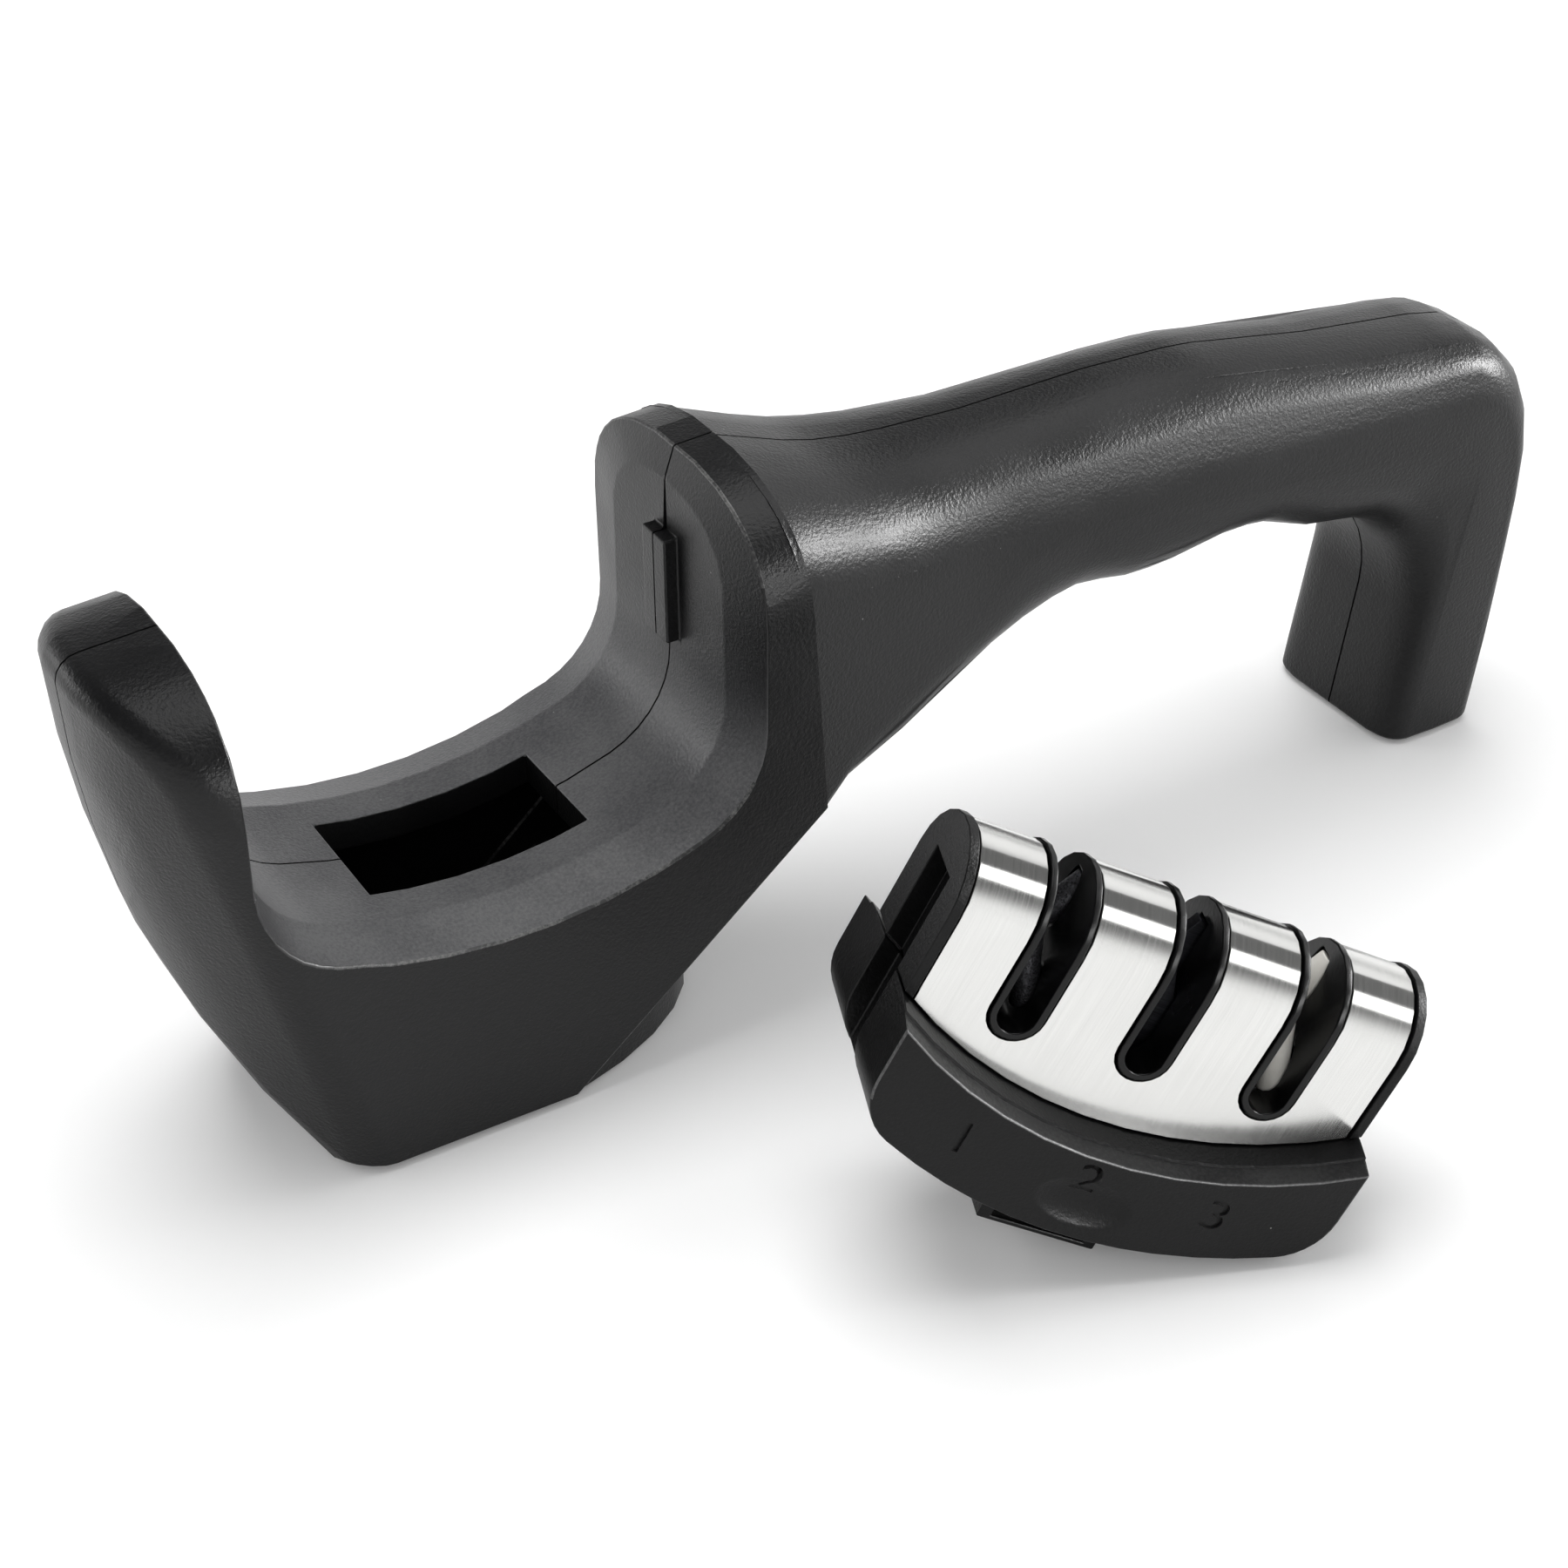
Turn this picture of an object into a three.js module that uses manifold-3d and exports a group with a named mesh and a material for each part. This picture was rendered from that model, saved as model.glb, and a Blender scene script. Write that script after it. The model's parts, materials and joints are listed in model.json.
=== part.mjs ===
// Three-stage pull-through knife sharpener in millimetres, +Z up.
// A hollow two-half body with a cradle and a looped grip stands on two rubber pads.
// The sharpening head is lifted out of the cradle and lies tilted on the table in front of the grip.
import * as THREE from "three";
import { mergeVertices } from "three/addons/utils/BufferGeometryUtils.js";
import Module from "manifold-3d";

// Sharpening head, in its own frame: u along the slots, v through them, w up from the base's lowest point
const HEAD_LENGTH = 61.8; // over the two end caps
const HEAD_THICKNESS = 15.8; // across the steel cover
const HEAD_CROWN = 39.9; // top of the steel cover
const COVER_SHEET = 0.5; // stainless sheet
const END_CAP = 1.3; // plastic lip outside each end of the cover
const CAP_PROUD = 0.3; // end cap over the steel
const BASE_OVERHANG = 0.1; // base past each end cap
const BASE_WIDTH = 27.4;
const BASE_ARC_RADIUS = 66.5; // convex underside
const BASE_CORNER = 8; // lower corners of the base
const BASE_RIM_MID = 11.3; // outer top edge at the middle
const BASE_RIM_END = 20.1; // outer top edge at the ends
const BASE_LEDGE = 2.6; // flat strip of the shoulder, outside its small step
const SHOULDER_RISE = 1.2; // shoulder from the rim up to the steel
const LEDGE_STEP = 0.4; // height of the step behind the ledge
const LEDGE_STEP_RUN = 0.1;
const BASE_FLOOR = 3; // thickness under the frame's tongue
const BASE_END_WALL = 4.6; // base wall beyond the frame's tongue
const HOLLOW_LENGTH = 13.6; // shallow finger hollow in the middle of each side of the base
const HOLLOW_HEIGHT = 7;
const HOLLOW_DEPTH = 0.9;
const HOLLOW_LEVEL = 5; // middle of the hollow over the base's lowest point
const FIT = 0.3; // gap between pieces that seat on each other

// Slots and what sharpens in them
const SLOT_PITCH = 17;
const SLOT_WIDTH = 6.7; // outside the liner
const SLOT_FOOT = 22.9; // centre of the round foot
const LINER_WALL = 0.9;
const LINER_PROUD = 0.3; // liner rim over the steel
const CROSSING_DROP = 11.4; // crown to where the pair of rods or blades cross
const CROSSING_TILT = THREE.MathUtils.degToRad(24);
const ROD_LENGTH = 19;
const ROD_PARTING = 0.8; // between the two of a pair
const DIAMOND_DIAMETER = 3;
const CERAMIC_DIAMETER = 3.6;
const BLADE_WIDTH = 4.4;
const BLADE_THICKNESS = 1.8;
const BLADE_LENGTH = 18;

// Screws that hold the base to the frame, from below
const SCREW_OFFSET = 23; // from the middle of the head
const SCREW_LENGTH = 9;
const SCREW_SHANK = 2.4;
const SCREW_HEAD = 4.6;
const SCREW_HEAD_HEIGHT = 1.5;

// Latch frame under the base, which plugs into the cradle's window
const LATCH_LENGTH = 16;
const LATCH_WALL = 1.7;
const LATCH_DEPTH = 4.4;
const LATCH_BAR = 0.7; // bar left under the opening in each long wall

// Where the head lies
const HEAD_X = 43.1;
const HEAD_Y = -67.8;
const HEAD_YAW = THREE.MathUtils.degToRad(-22.7);
const HEAD_TILT = THREE.MathUtils.degToRad(26.9);
const HEAD_LEAN = THREE.MathUtils.degToRad(-3.3);

// Cradle
const SEAT_CLEARANCE = 0.5; // under the head's base
const SEAT_END_CLEARANCE = 1.05; // beyond each end of it
const SEAT_FLOOR = 31.6; // lowest point over the table
const SEAT_FILLET = 14; // floor into the end walls
const SEAT_HALF_WIDTH = 14; // flat part, inside the bevels
const SEAT_BEVEL_SET_BACK = 1.5; // bevel depth on the end walls
const SEAT_BEVEL_DROP = 2.2; // bevel depth along the floor
const ARCH_BEVEL = 4.4; // bevel height over the flat part's arch
const WINDOW_LENGTH = 29.8;
const WINDOW_WIDTH = 17;
const KEY_WIDTH = 5.7; // guide key on the collar
const KEY_PROUD = 1.9;
const KEY_FOOT = 51;
const KEY_HEIGHT = 14.8;
const KEY_CLEARANCE = 0.6; // each side in the head's channel
const KEY_END_PLAY = 2; // ahead of the key

// Front of the body
const NOSE_LENGTH = 14.35; // ahead of the cradle
const NOSE_FRONT_HEIGHT = 69; // where the nose reaches furthest
const TOE_SET_BACK = 16.6; // front face at the table, behind the nose
const FRONT_BOW = 1.75; // how the front face sweeps from the toe to the nose
const FRONT_RADIUS = 31; // plan curve of the front face
const NOSE_EDGE = 3; // soft edge round the front face
const NOSE_HALF_WIDTH = 21.3;
const NOSE_TOP = 73;
const COLLAR_HALF_WIDTH = 21.9;
const COLLAR_TOP = 77.5;
const COLLAR_LENGTH = 6.95; // behind the cradle, at the top
const COLLAR_LEAN = 0.075; // rear edge moves back by this for each millimetre down
const ARCH_HEIGHT = 16; // crown of the nose and the collar
const ARCH_EXPONENT = 2.4; // squareness of that crown
const SOLE_EDGE = 0.8; // soft lower side edges
const SIDE_DRAFT = 1; // each side narrows by this at the table
const DRAFT_HEIGHT = 30;
const BELLY_START = 4.5; // where the slanted underside leaves the table
const BELLY_SLOPE = THREE.MathUtils.degToRad(40.5);
const COLUMN_SET_IN = 1.05; // rear of the rounded foot, ahead of the cradle's rear wall
const COLUMN_DEPTH = 39; // of that foot, to where it meets the front block
const COLUMN_HALF_WIDTH = 21.4;
const COLUMN_EDGE = 0.8; // soft lower edge of that foot

// Grip and rear leg
const GRIP_LENGTH = 128; // collar's rear edge to the back of the leg
const GRIP_TOP = 70.7; // crown of the grip over the table
const GRIP_DEPTH = 29.6; // crown to finger side
const GRIP_HALF_WIDTH = 14.4;
const GRIP_STEP = 0.35; // grip starts this much inside the collar
const COLLAR_OVERLAP = 1; // depth that the grip and the collar share
const LEG_DEPTH = 18; // front to back
const LEG_HALF_WIDTH = 14;
const LEG_EDGE = 0.6; // soft lower edge of the leg

// Shell walls, seam and pegs
const WALL = 2.4;
const SEAM = 0.3; // parting line between the halves
const BOSS_DIAMETER = 7;
const PEG_DIAMETER = 3.2;
const PEG_LENGTH = 3.4;

// Rubber pads
const PAD_THICKNESS = 1.6;
const PAD_PROUD = 0.4; // below the shells
const PAD_GLUE = 0.1;
const FRONT_PAD_LENGTH = 50;
const FRONT_PAD_WIDTH = 33;
const FRONT_PAD_CENTRE = 1; // behind the cradle's middle
const REAR_PAD_LENGTH = 11.5;
const REAR_PAD_WIDTH = 20;

// Facets
const CAP_STEPS = 17; // crown of the body's sections
const INNER_CAP_STEPS = 5; // hollow side of the shells
const BEND_STEPS = 11; // arcs of the head
const ARC_STEPS = 7;
const ROUND_STEPS = 16;
const STATION_STEPS = 2;

// Lengths that follow from the driving ones
const headHalf = HEAD_LENGTH / 2;
const coverHalf = HEAD_THICKNESS / 2;
const frameHalf = coverHalf - COVER_SHEET - FIT;
const baseHalf = headHalf + BASE_OVERHANG;
const baseHalfWidth = BASE_WIDTH / 2;
const crossingHeight = HEAD_CROWN - CROSSING_DROP;
const tongueHalf = baseHalf - BASE_END_WALL - FIT;
const cradleHalf = baseHalf + SEAT_END_CLEARANCE;
const seatRadius = BASE_ARC_RADIUS + SEAT_CLEARANCE;
const channelTop = KEY_FOOT + KEY_HEIGHT - SEAT_FLOOR - SEAT_CLEARANCE + KEY_CLEARANCE;
const channelFloor = cradleHalf - KEY_PROUD - KEY_END_PLAY;
const sole = PAD_PROUD;
const padRecess = PAD_THICKNESS - PAD_PROUD + PAD_GLUE;
const cavityFloor = sole + padRecess + WALL;
const noseFront = cradleHalf + NOSE_LENGTH;
const toeFront = noseFront - TOE_SET_BACK;
const collarBack = cradleHalf + COLLAR_LENGTH;
const columnRear = cradleHalf - COLUMN_SET_IN;
const gripEnd = collarBack + GRIP_LENGTH;
const legFront = gripEnd - LEG_DEPTH;
const gripFloor = GRIP_TOP - GRIP_DEPTH;
const clearOfAll = 200;

const { Vector2, Vector3, Matrix4, MathUtils } = THREE;
const { lerp } = MathUtils;
const wasm = await Module();
wasm.setup();

// A closed geometry as a solid to join and cut, with its faces turned outwards
function solid(geometry) {
  const bare = geometry.clone();
  bare.deleteAttribute("normal");
  bare.deleteAttribute("uv");
  const merged = mergeVertices(bare, 1e-4);
  const vertProperties = new Float32Array(merged.attributes.position.array);
  const triVerts = new Uint32Array(merged.index.array);
  const made = new wasm.Manifold(new wasm.Mesh({ numProp: 3, vertProperties, triVerts }));
  if (made.volume() > 0) return made;
  triVerts.reverse();
  return new wasm.Manifold(new wasm.Mesh({ numProp: 3, vertProperties, triVerts }));
}

function geometryOf(made) {
  const mesh = made.getMesh();
  const geometry = new THREE.BufferGeometry();
  geometry.setAttribute("position", new THREE.BufferAttribute(mesh.vertProperties, mesh.numProp));
  geometry.setIndex(new THREE.BufferAttribute(mesh.triVerts, 1));
  return geometry;
}

// Solid through a row of outlines with equal point counts, closed by a flat cap at each end
function loft(outlines, place) {
  const count = outlines[0].length;
  const lastRing = (outlines.length - 1) * count;
  const points = outlines.flatMap((outline, k) => outline.map((p) => place(p, k)));
  const triangles = [];
  for (let ring = 0; ring < lastRing; ring += count)
    for (let i = 0; i < count; i++) {
      const next = (i + 1) % count;
      triangles.push(ring + i, ring + next, ring + count + next);
      triangles.push(ring + i, ring + count + next, ring + count + i);
    }
  const cap = (outline, start, reversed) => {
    const turn = Math.sign(THREE.ShapeUtils.area(outline)) * (reversed ? -1 : 1);
    for (const face of THREE.ShapeUtils.triangulateShape(outline, [])) {
      const runs = Math.sign(THREE.ShapeUtils.area(face.map((i) => outline[i])));
      const ordered = runs === turn ? face : face.toReversed();
      triangles.push(...ordered.map((i) => start + i));
    }
  };
  cap(outlines[0], 0, true);
  cap(outlines.at(-1), lastRing, false);
  const geometry = new THREE.BufferGeometry().setFromPoints(points);
  geometry.setIndex(triangles);
  return solid(geometry);
}

// Straight prism of an outline drawn in the plane across the axis
const ACROSS = {
  x: [new Vector3(0, 1, 0), new Vector3(0, 0, 1), new Vector3(1, 0, 0)],
  y: [new Vector3(1, 0, 0), new Vector3(0, 0, 1), new Vector3(0, -1, 0)],
  z: [new Vector3(1, 0, 0), new Vector3(0, 1, 0), new Vector3(0, 0, 1)],
};
function prism(axis, outline, depth, middle = 0) {
  const geometry = new THREE.ExtrudeGeometry(new THREE.Shape(outline), { depth, bevelEnabled: false });
  geometry.translate(0, 0, -depth / 2);
  geometry.applyMatrix4(new Matrix4().makeBasis(...ACROSS[axis]));
  const shift = new Vector3(axis === "x", axis === "y", axis === "z").multiplyScalar(middle);
  geometry.translate(shift.x, shift.y, shift.z);
  return solid(geometry);
}

function block(low, high) {
  const size = new Vector3().subVectors(high, low);
  const middle = new Vector3().addVectors(low, high).multiplyScalar(0.5);
  const geometry = new THREE.BoxGeometry(size.x, size.y, size.z);
  geometry.translate(middle.x, middle.y, middle.z);
  return solid(geometry);
}

// Round bar between two points
function bar(diameter, from, to) {
  const along = new Vector3().subVectors(to, from);
  const geometry = new THREE.CylinderGeometry(diameter / 2, diameter / 2, along.length(), ROUND_STEPS);
  const turn = new THREE.Quaternion().setFromUnitVectors(new Vector3(0, 1, 0), along.normalize());
  geometry.applyQuaternion(turn);
  geometry.translate((from.x + to.x) / 2, (from.y + to.y) / 2, (from.z + to.z) / 2);
  return solid(geometry);
}

const joined = (solids) => solids.reduce((all, one) => all.add(one));
const sagOf = (radius, across) => radius - Math.sqrt(radius ** 2 - across ** 2);
const signedPower = (value, power) => Math.sign(value) * Math.abs(value) ** power;

function arc(centreX, centreY, radius, from, to, steps = ARC_STEPS) {
  const at = (k) => lerp(from, to, k / steps);
  return Array.from({ length: steps + 1 }, (_, k) => {
    return new Vector2(centreX + radius * Math.cos(at(k)), centreY + radius * Math.sin(at(k)));
  });
}

// Half of a squared-off ellipse, over the top or under the bottom, which turns evenly from point to point
function cap(halfWidth, springing, height, exponent, steps = CAP_STEPS) {
  const up = Math.sign(height);
  const evenness = exponent / (2 * exponent - 2);
  return arc(0, 0, 1, up > 0 ? 0 : -Math.PI, up > 0 ? Math.PI : 0, steps).map((turn, k) => {
    const flat = k === 0 || k === steps;
    const leaning = new Vector2(Math.abs(halfWidth * turn.x), flat ? 0 : Math.abs(height * turn.y));
    const p = new Vector2(leaning.x ** evenness, leaning.y ** evenness).normalize();
    const across = Math.sign(turn.x) * p.x ** (2 / exponent);
    return new Vector2(halfWidth * across, springing + height * p.y ** (2 / exponent));
  });
}

// Closed section with a crown above, straight sides and a rounded or square bottom
function archOutline(halfWidth, top, height, bottom) {
  const crown = cap(halfWidth, top - height, height, ARCH_EXPONENT);
  return [...crown, new Vector2(-halfWidth, bottom), new Vector2(halfWidth, bottom)];
}

function roundSection(halfWidth, top, topHeight, bottom, bottomHeight, exponent, steps) {
  const crown = cap(halfWidth, top - topHeight, topHeight, exponent, steps);
  return [...crown, ...cap(halfWidth, bottom + bottomHeight, -bottomHeight, exponent, steps)];
}
const capStepsFor = (inset) => (inset > 0 ? INNER_CAP_STEPS : CAP_STEPS);

function padOutline(centre, length, width) {
  const rim = arc(0, 0, 1, 0, 2 * Math.PI, 2 * ROUND_STEPS).slice(0, -1);
  return rim.map((p) => {
    const x = centre + (length / 2) * signedPower(p.x, 0.8);
    return new Vector2(x, (width / 2) * signedPower(p.y, 0.8));
  });
}

// Front of the body: a domed front face, an arched nose and collar, and a slanted underside
const behindNose = (x) => (x + noseFront) / (collarBack + noseFront);
const topAt = (x) => lerp(NOSE_TOP, COLLAR_TOP, behindNose(x));
const sideAt = (x) => lerp(NOSE_HALF_WIDTH, COLLAR_HALF_WIDTH, behindNose(x));
const collarBackAt = (z) => collarBack + COLLAR_LEAN * (COLLAR_TOP - z);

function frontFace(y, z) {
  const lowness = (NOSE_FRONT_HEIGHT - z) / NOSE_FRONT_HEIGHT;
  return TOE_SET_BACK * Math.abs(lowness) ** FRONT_BOW - noseFront + sagOf(FRONT_RADIUS, y);
}

function frontBlock(inset) {
  const outline = (halfWidth, top, trim) => {
    const bottom = sole + inset + ((trim - inset) * SOLE_EDGE) / NOSE_EDGE;
    const shape = [top - trim, ARCH_HEIGHT - trim, bottom, SOLE_EDGE, ARCH_EXPONENT, capStepsFor(inset)];
    return roundSection(halfWidth - trim, ...shape);
  };
  const rings = [];
  const faceOutline = outline(NOSE_HALF_WIDTH, NOSE_TOP, inset + NOSE_EDGE);
  const faceCentre = new Vector2(0, (sole + NOSE_TOP) / 2);
  for (const share of [0.1, 0.4, 0.7])
    rings.push({ depth: 0, points: faceOutline.map((p) => faceCentre.clone().lerp(p, share)) });
  for (const turn of [0, 0.25, 0.5, 0.75, 1]) {
    const trim = NOSE_EDGE * (1 - Math.sin((turn * Math.PI) / 2));
    const depth = NOSE_EDGE * (1 - Math.cos((turn * Math.PI) / 2));
    rings.push({ depth, points: outline(NOSE_HALF_WIDTH, NOSE_TOP, inset + trim) });
  }
  rings.push({ points: outline(COLLAR_HALF_WIDTH, COLLAR_TOP, inset) });
  const draft = SIDE_DRAFT / COLLAR_HALF_WIDTH;
  const narrowed = (p) => p.x * (1 - draft * Math.max(0, 1 - p.y / DRAFT_HEIGHT));
  const whole = loft(
    rings.map((ring) => ring.points),
    (p, k) => {
      const y = narrowed(p);
      const x = k === rings.length - 1 ? collarBackAt(p.y) : frontFace(y, p.y) + rings[k].depth + inset;
      return new Vector3(x, y, p.y);
    },
  );
  return whole.subtract(bellySpace(inset).subtract(footColumn(inset)));
}

// Space below the slanted underside
function bellySpace(inset) {
  const along = new Vector2(Math.cos(BELLY_SLOPE), Math.sin(BELLY_SLOPE));
  const start = new Vector2(BELLY_START, 0).add(new Vector2(-along.y, along.x).multiplyScalar(inset));
  const low = start.clone().addScaledVector(along, -noseFront);
  const high = start.clone().addScaledVector(along, clearOfAll);
  return prism("y", [low, new Vector2(high.x, low.y), high], clearOfAll);
}

// Rounded foot that is left standing under it
function footColumn(inset) {
  const centre = columnRear - COLUMN_DEPTH;
  const depth = COLUMN_DEPTH - inset;
  const levels = [
    [-WALL, COLUMN_EDGE],
    [sole, COLUMN_EDGE],
    [sole + COLUMN_EDGE / 3, COLUMN_EDGE / 3],
    [sole + COLUMN_EDGE, 0],
    [SEAT_FLOOR, 0],
  ];
  const outlines = levels.map(([, trim]) => {
    const rim = arc(0, 0, 1, -Math.PI / 2, Math.PI / 2, ROUND_STEPS);
    const halfWidth = COLUMN_HALF_WIDTH - inset - trim;
    return rim.map((p) => new Vector2(centre + (depth - trim) * p.x, halfWidth * p.y));
  });
  return loft(outlines, (p, k) => new Vector3(p.x, p.y, levels[k][0]));
}

// Cradle for the head: a raised seat with bevelled sides, arched ends and fillets
function seatCurve(wall, floor) {
  const reach = wall - SEAT_FILLET;
  const turn = Math.asin(reach / (seatRadius - SEAT_FILLET));
  const centre = floor + seatRadius;
  const height = centre - (seatRadius - SEAT_FILLET) * Math.cos(turn);
  const down = -Math.PI / 2;
  return [
    ...arc(-reach, height, SEAT_FILLET, -Math.PI, down - turn),
    ...arc(0, centre, seatRadius, down - turn, down + turn).slice(1, -1),
    ...arc(reach, height, SEAT_FILLET, down + turn, 0),
  ];
}

function seatPad(wall, floor) {
  const curve = seatCurve(wall, floor);
  const bottom = floor - SEAT_FILLET;
  const out = cradleHalf + SEAT_FILLET;
  const corners = [new Vector2(out, curve.at(-1).y), new Vector2(out, bottom)];
  return [...curve, ...corners, new Vector2(-out, bottom), new Vector2(-out, curve[0].y)];
}

function cradleSpace() {
  const deepWall = cradleHalf + 2 * SEAT_BEVEL_SET_BACK;
  const deepFloor = SEAT_FLOOR - 2 * SEAT_BEVEL_DROP;
  const lofty = [new Vector2(deepWall, clearOfAll), new Vector2(-deepWall, clearOfAll)];
  const deep = prism("y", [...seatCurve(deepWall, deepFloor), ...lofty], clearOfAll);
  const bevelEnd = 2 * COLLAR_HALF_WIDTH - SEAT_HALF_WIDTH;
  const across = [-bevelEnd, -SEAT_HALF_WIDTH, SEAT_HALF_WIDTH, bevelEnd];
  const bevelFoot = seatPad(deepWall, deepFloor);
  const flatPart = seatPad(cradleHalf, SEAT_FLOOR);
  const seat = loft([bevelFoot, flatPart, flatPart, bevelFoot], (p, k) => new Vector3(p.x, across[k], p.y));
  return deep.subtract(seat).subtract(archedEnd(1)).subtract(archedEnd(-1));
}

// End wall of the cradle, with a bevel that follows its arch
function archedEnd(side) {
  const edge = side * (cradleHalf + SEAT_BEVEL_SET_BACK);
  const foot = SEAT_FLOOR;
  const outer = archOutline(sideAt(edge), topAt(edge), ARCH_HEIGHT, foot);
  const inner = archOutline(SEAT_HALF_WIDTH, topAt(edge) - ARCH_BEVEL, ARCH_HEIGHT - ARCH_BEVEL, foot);
  const wide = outer.map((p, k) => p.clone().multiplyScalar(2).sub(inner[k]));
  const reach = [cradleHalf, cradleHalf + 2 * SEAT_BEVEL_SET_BACK, cradleHalf + SEAT_FILLET];
  return loft([inner, wide, wide], (p, k) => new Vector3(side * reach[k], p.x, p.y));
}

// Grip and leg: sections between an outer and an inner line, from the collar round to the rear foot
const collarInside = COLLAR_HALF_WIDTH - GRIP_STEP;
const collarCrown = COLLAR_TOP - GRIP_STEP;
const gripAlong = (share) => lerp(collarBack, legFront, share);
const neckWidth = (share) => lerp(GRIP_HALF_WIDTH, collarInside, share);
const legWidth = (share) => lerp(LEG_HALF_WIDTH, GRIP_HALF_WIDTH, share);
const underBelly = (behind, below) => {
  const x = collarBack + behind;
  return [x, (x - BELLY_START) * Math.tan(BELLY_SLOPE) - below];
};
const underGrip = (behind, below) => [collarBack + behind, gripFloor - below];
const station = (outer, inner, halfWidth, squareness, crown = 0.5, keel = 0.5) => ({
  outer: new Vector2(...outer),
  inner: new Vector2(...inner),
  width: new Vector2(halfWidth, squareness),
  share: new Vector2(crown, keel),
});
const NECK = [
  station([collarBack - 9, collarCrown + 2.6], underBelly(-13, 2), collarInside + 1.6, 2.4, 0.26, 0.06),
  station([collarBack, collarCrown], underBelly(1, 5), collarInside, 2.4, 0.28, 0.12),
  station([gripAlong(0.055), collarCrown - 2.3], underBelly(8, 6.5), collarInside - 1.1, 2.4, 0.3, 0.2),
  station([gripAlong(0.13), GRIP_TOP + 1.6], underGrip(18, 8.8), neckWidth(0.6), 2.4, 0.36, 0.26),
  station([gripAlong(0.22), GRIP_TOP + 0.3], underGrip(29, 5), neckWidth(0.3), 2.4, 0.44, 0.36),
  station([gripAlong(0.33), GRIP_TOP - 0.2], underGrip(40, 1.4), neckWidth(0.1), 2.3, 0.49, 0.46),
];
const HAND = [
  station([gripAlong(0.43), GRIP_TOP + 0.1], [gripAlong(0.455), gripFloor + 0.8], GRIP_HALF_WIDTH, 2.3),
  station([gripAlong(0.51), GRIP_TOP + 0.2], [gripAlong(0.53), gripFloor - 0.5], GRIP_HALF_WIDTH, 2.3),
  station([gripAlong(0.59), GRIP_TOP], [gripAlong(0.6), gripFloor - 0.3], GRIP_HALF_WIDTH, 2.3),
  station([gripAlong(0.67), GRIP_TOP - 0.7], [gripAlong(0.675), gripFloor + 1.2], GRIP_HALF_WIDTH, 2.3),
  station([gripAlong(0.755), GRIP_TOP - 2.3], [gripAlong(0.75), gripFloor + 0.9], GRIP_HALF_WIDTH, 2.3),
  station([gripAlong(0.85), GRIP_TOP - 4.2], [legFront - 19.5, gripFloor - 2], GRIP_HALF_WIDTH, 2.4),
];
const LEG = [
  station([gripEnd - 22, GRIP_TOP - 5.8], [legFront - 11.5, gripFloor - 3.2], legWidth(0.9), 2.5),
  station([gripEnd - 9.5, GRIP_TOP - 7.7], [legFront - 5.5, gripFloor - 5.6], legWidth(0.6), 2.9),
  station([gripEnd - 1.8, GRIP_TOP - 13.6], [legFront - 1.8, gripFloor - 10.6], legWidth(0.3), 3.4),
  station([gripEnd + 0.6, GRIP_TOP - 24], [legFront - 0.4, gripFloor - 16.6], LEG_HALF_WIDTH, 4),
  station([gripEnd - 0.6, sole + 30], [legFront - 1, sole + 17.5], LEG_HALF_WIDTH, 4.6),
  station([gripEnd - 2.4, sole + 14], [legFront - 2.5, sole + 8.1], LEG_HALF_WIDTH, 5),
  station([gripEnd - 4.2, sole + LEG_EDGE], [legFront - 3.8, sole + LEG_EDGE], LEG_HALF_WIDTH, 5),
];
const GRIP_STATIONS = [...NECK, ...HAND, ...LEG];
const footTop = GRIP_STATIONS.at(-1);

function grip(inset) {
  const steps = (GRIP_STATIONS.length - 1) * (inset > 0 ? 1 : STATION_STEPS);
  const curve = (key) => new THREE.SplineCurve(GRIP_STATIONS.map((one) => one[key])).getPoints(steps);
  const [outers, inners, widths, shares] = ["outer", "inner", "width", "share"].map(curve);
  const sections = outers.map((outer, k) => {
    return { outer, inner: inners[k], width: widths[k], share: shares[k], trim: inset };
  });
  const last = sections.at(-1);
  const lowered = new Vector2(0, -LEG_EDGE);
  const soleEnd = { outer: last.outer.clone().add(lowered), inner: last.inner.clone().add(lowered) };
  sections.push({ ...last, ...soleEnd, trim: inset + LEG_EDGE });
  const outlines = sections.map(({ outer, inner, width, share, trim }) => {
    const height = outer.distanceTo(inner) - 2 * trim;
    const caps = [height / 2, height * share.x, -height / 2, height * share.y];
    return roundSection(width.x - trim, ...caps, width.y, capStepsFor(inset));
  });
  const swept = loft(outlines, (p, k) => {
    const { outer, inner } = sections[k];
    const up = outer.clone().sub(inner).normalize();
    const at = outer.clone().add(inner).multiplyScalar(0.5).addScaledVector(up, p.y);
    return new Vector3(at.x, p.x, at.y);
  });
  return swept.subtract(aheadOfGrip());
}

// Space ahead of the collar's rear face, less what the grip and the collar share
function aheadOfGrip() {
  const top = 2 * COLLAR_TOP;
  const start = (z) => new Vector2(collarBackAt(z) - COLLAR_OVERLAP, z);
  const front = [new Vector2(-clearOfAll, -top), new Vector2(-clearOfAll, top)];
  return prism("y", [...front, start(top), start(-top)], clearOfAll);
}

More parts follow.
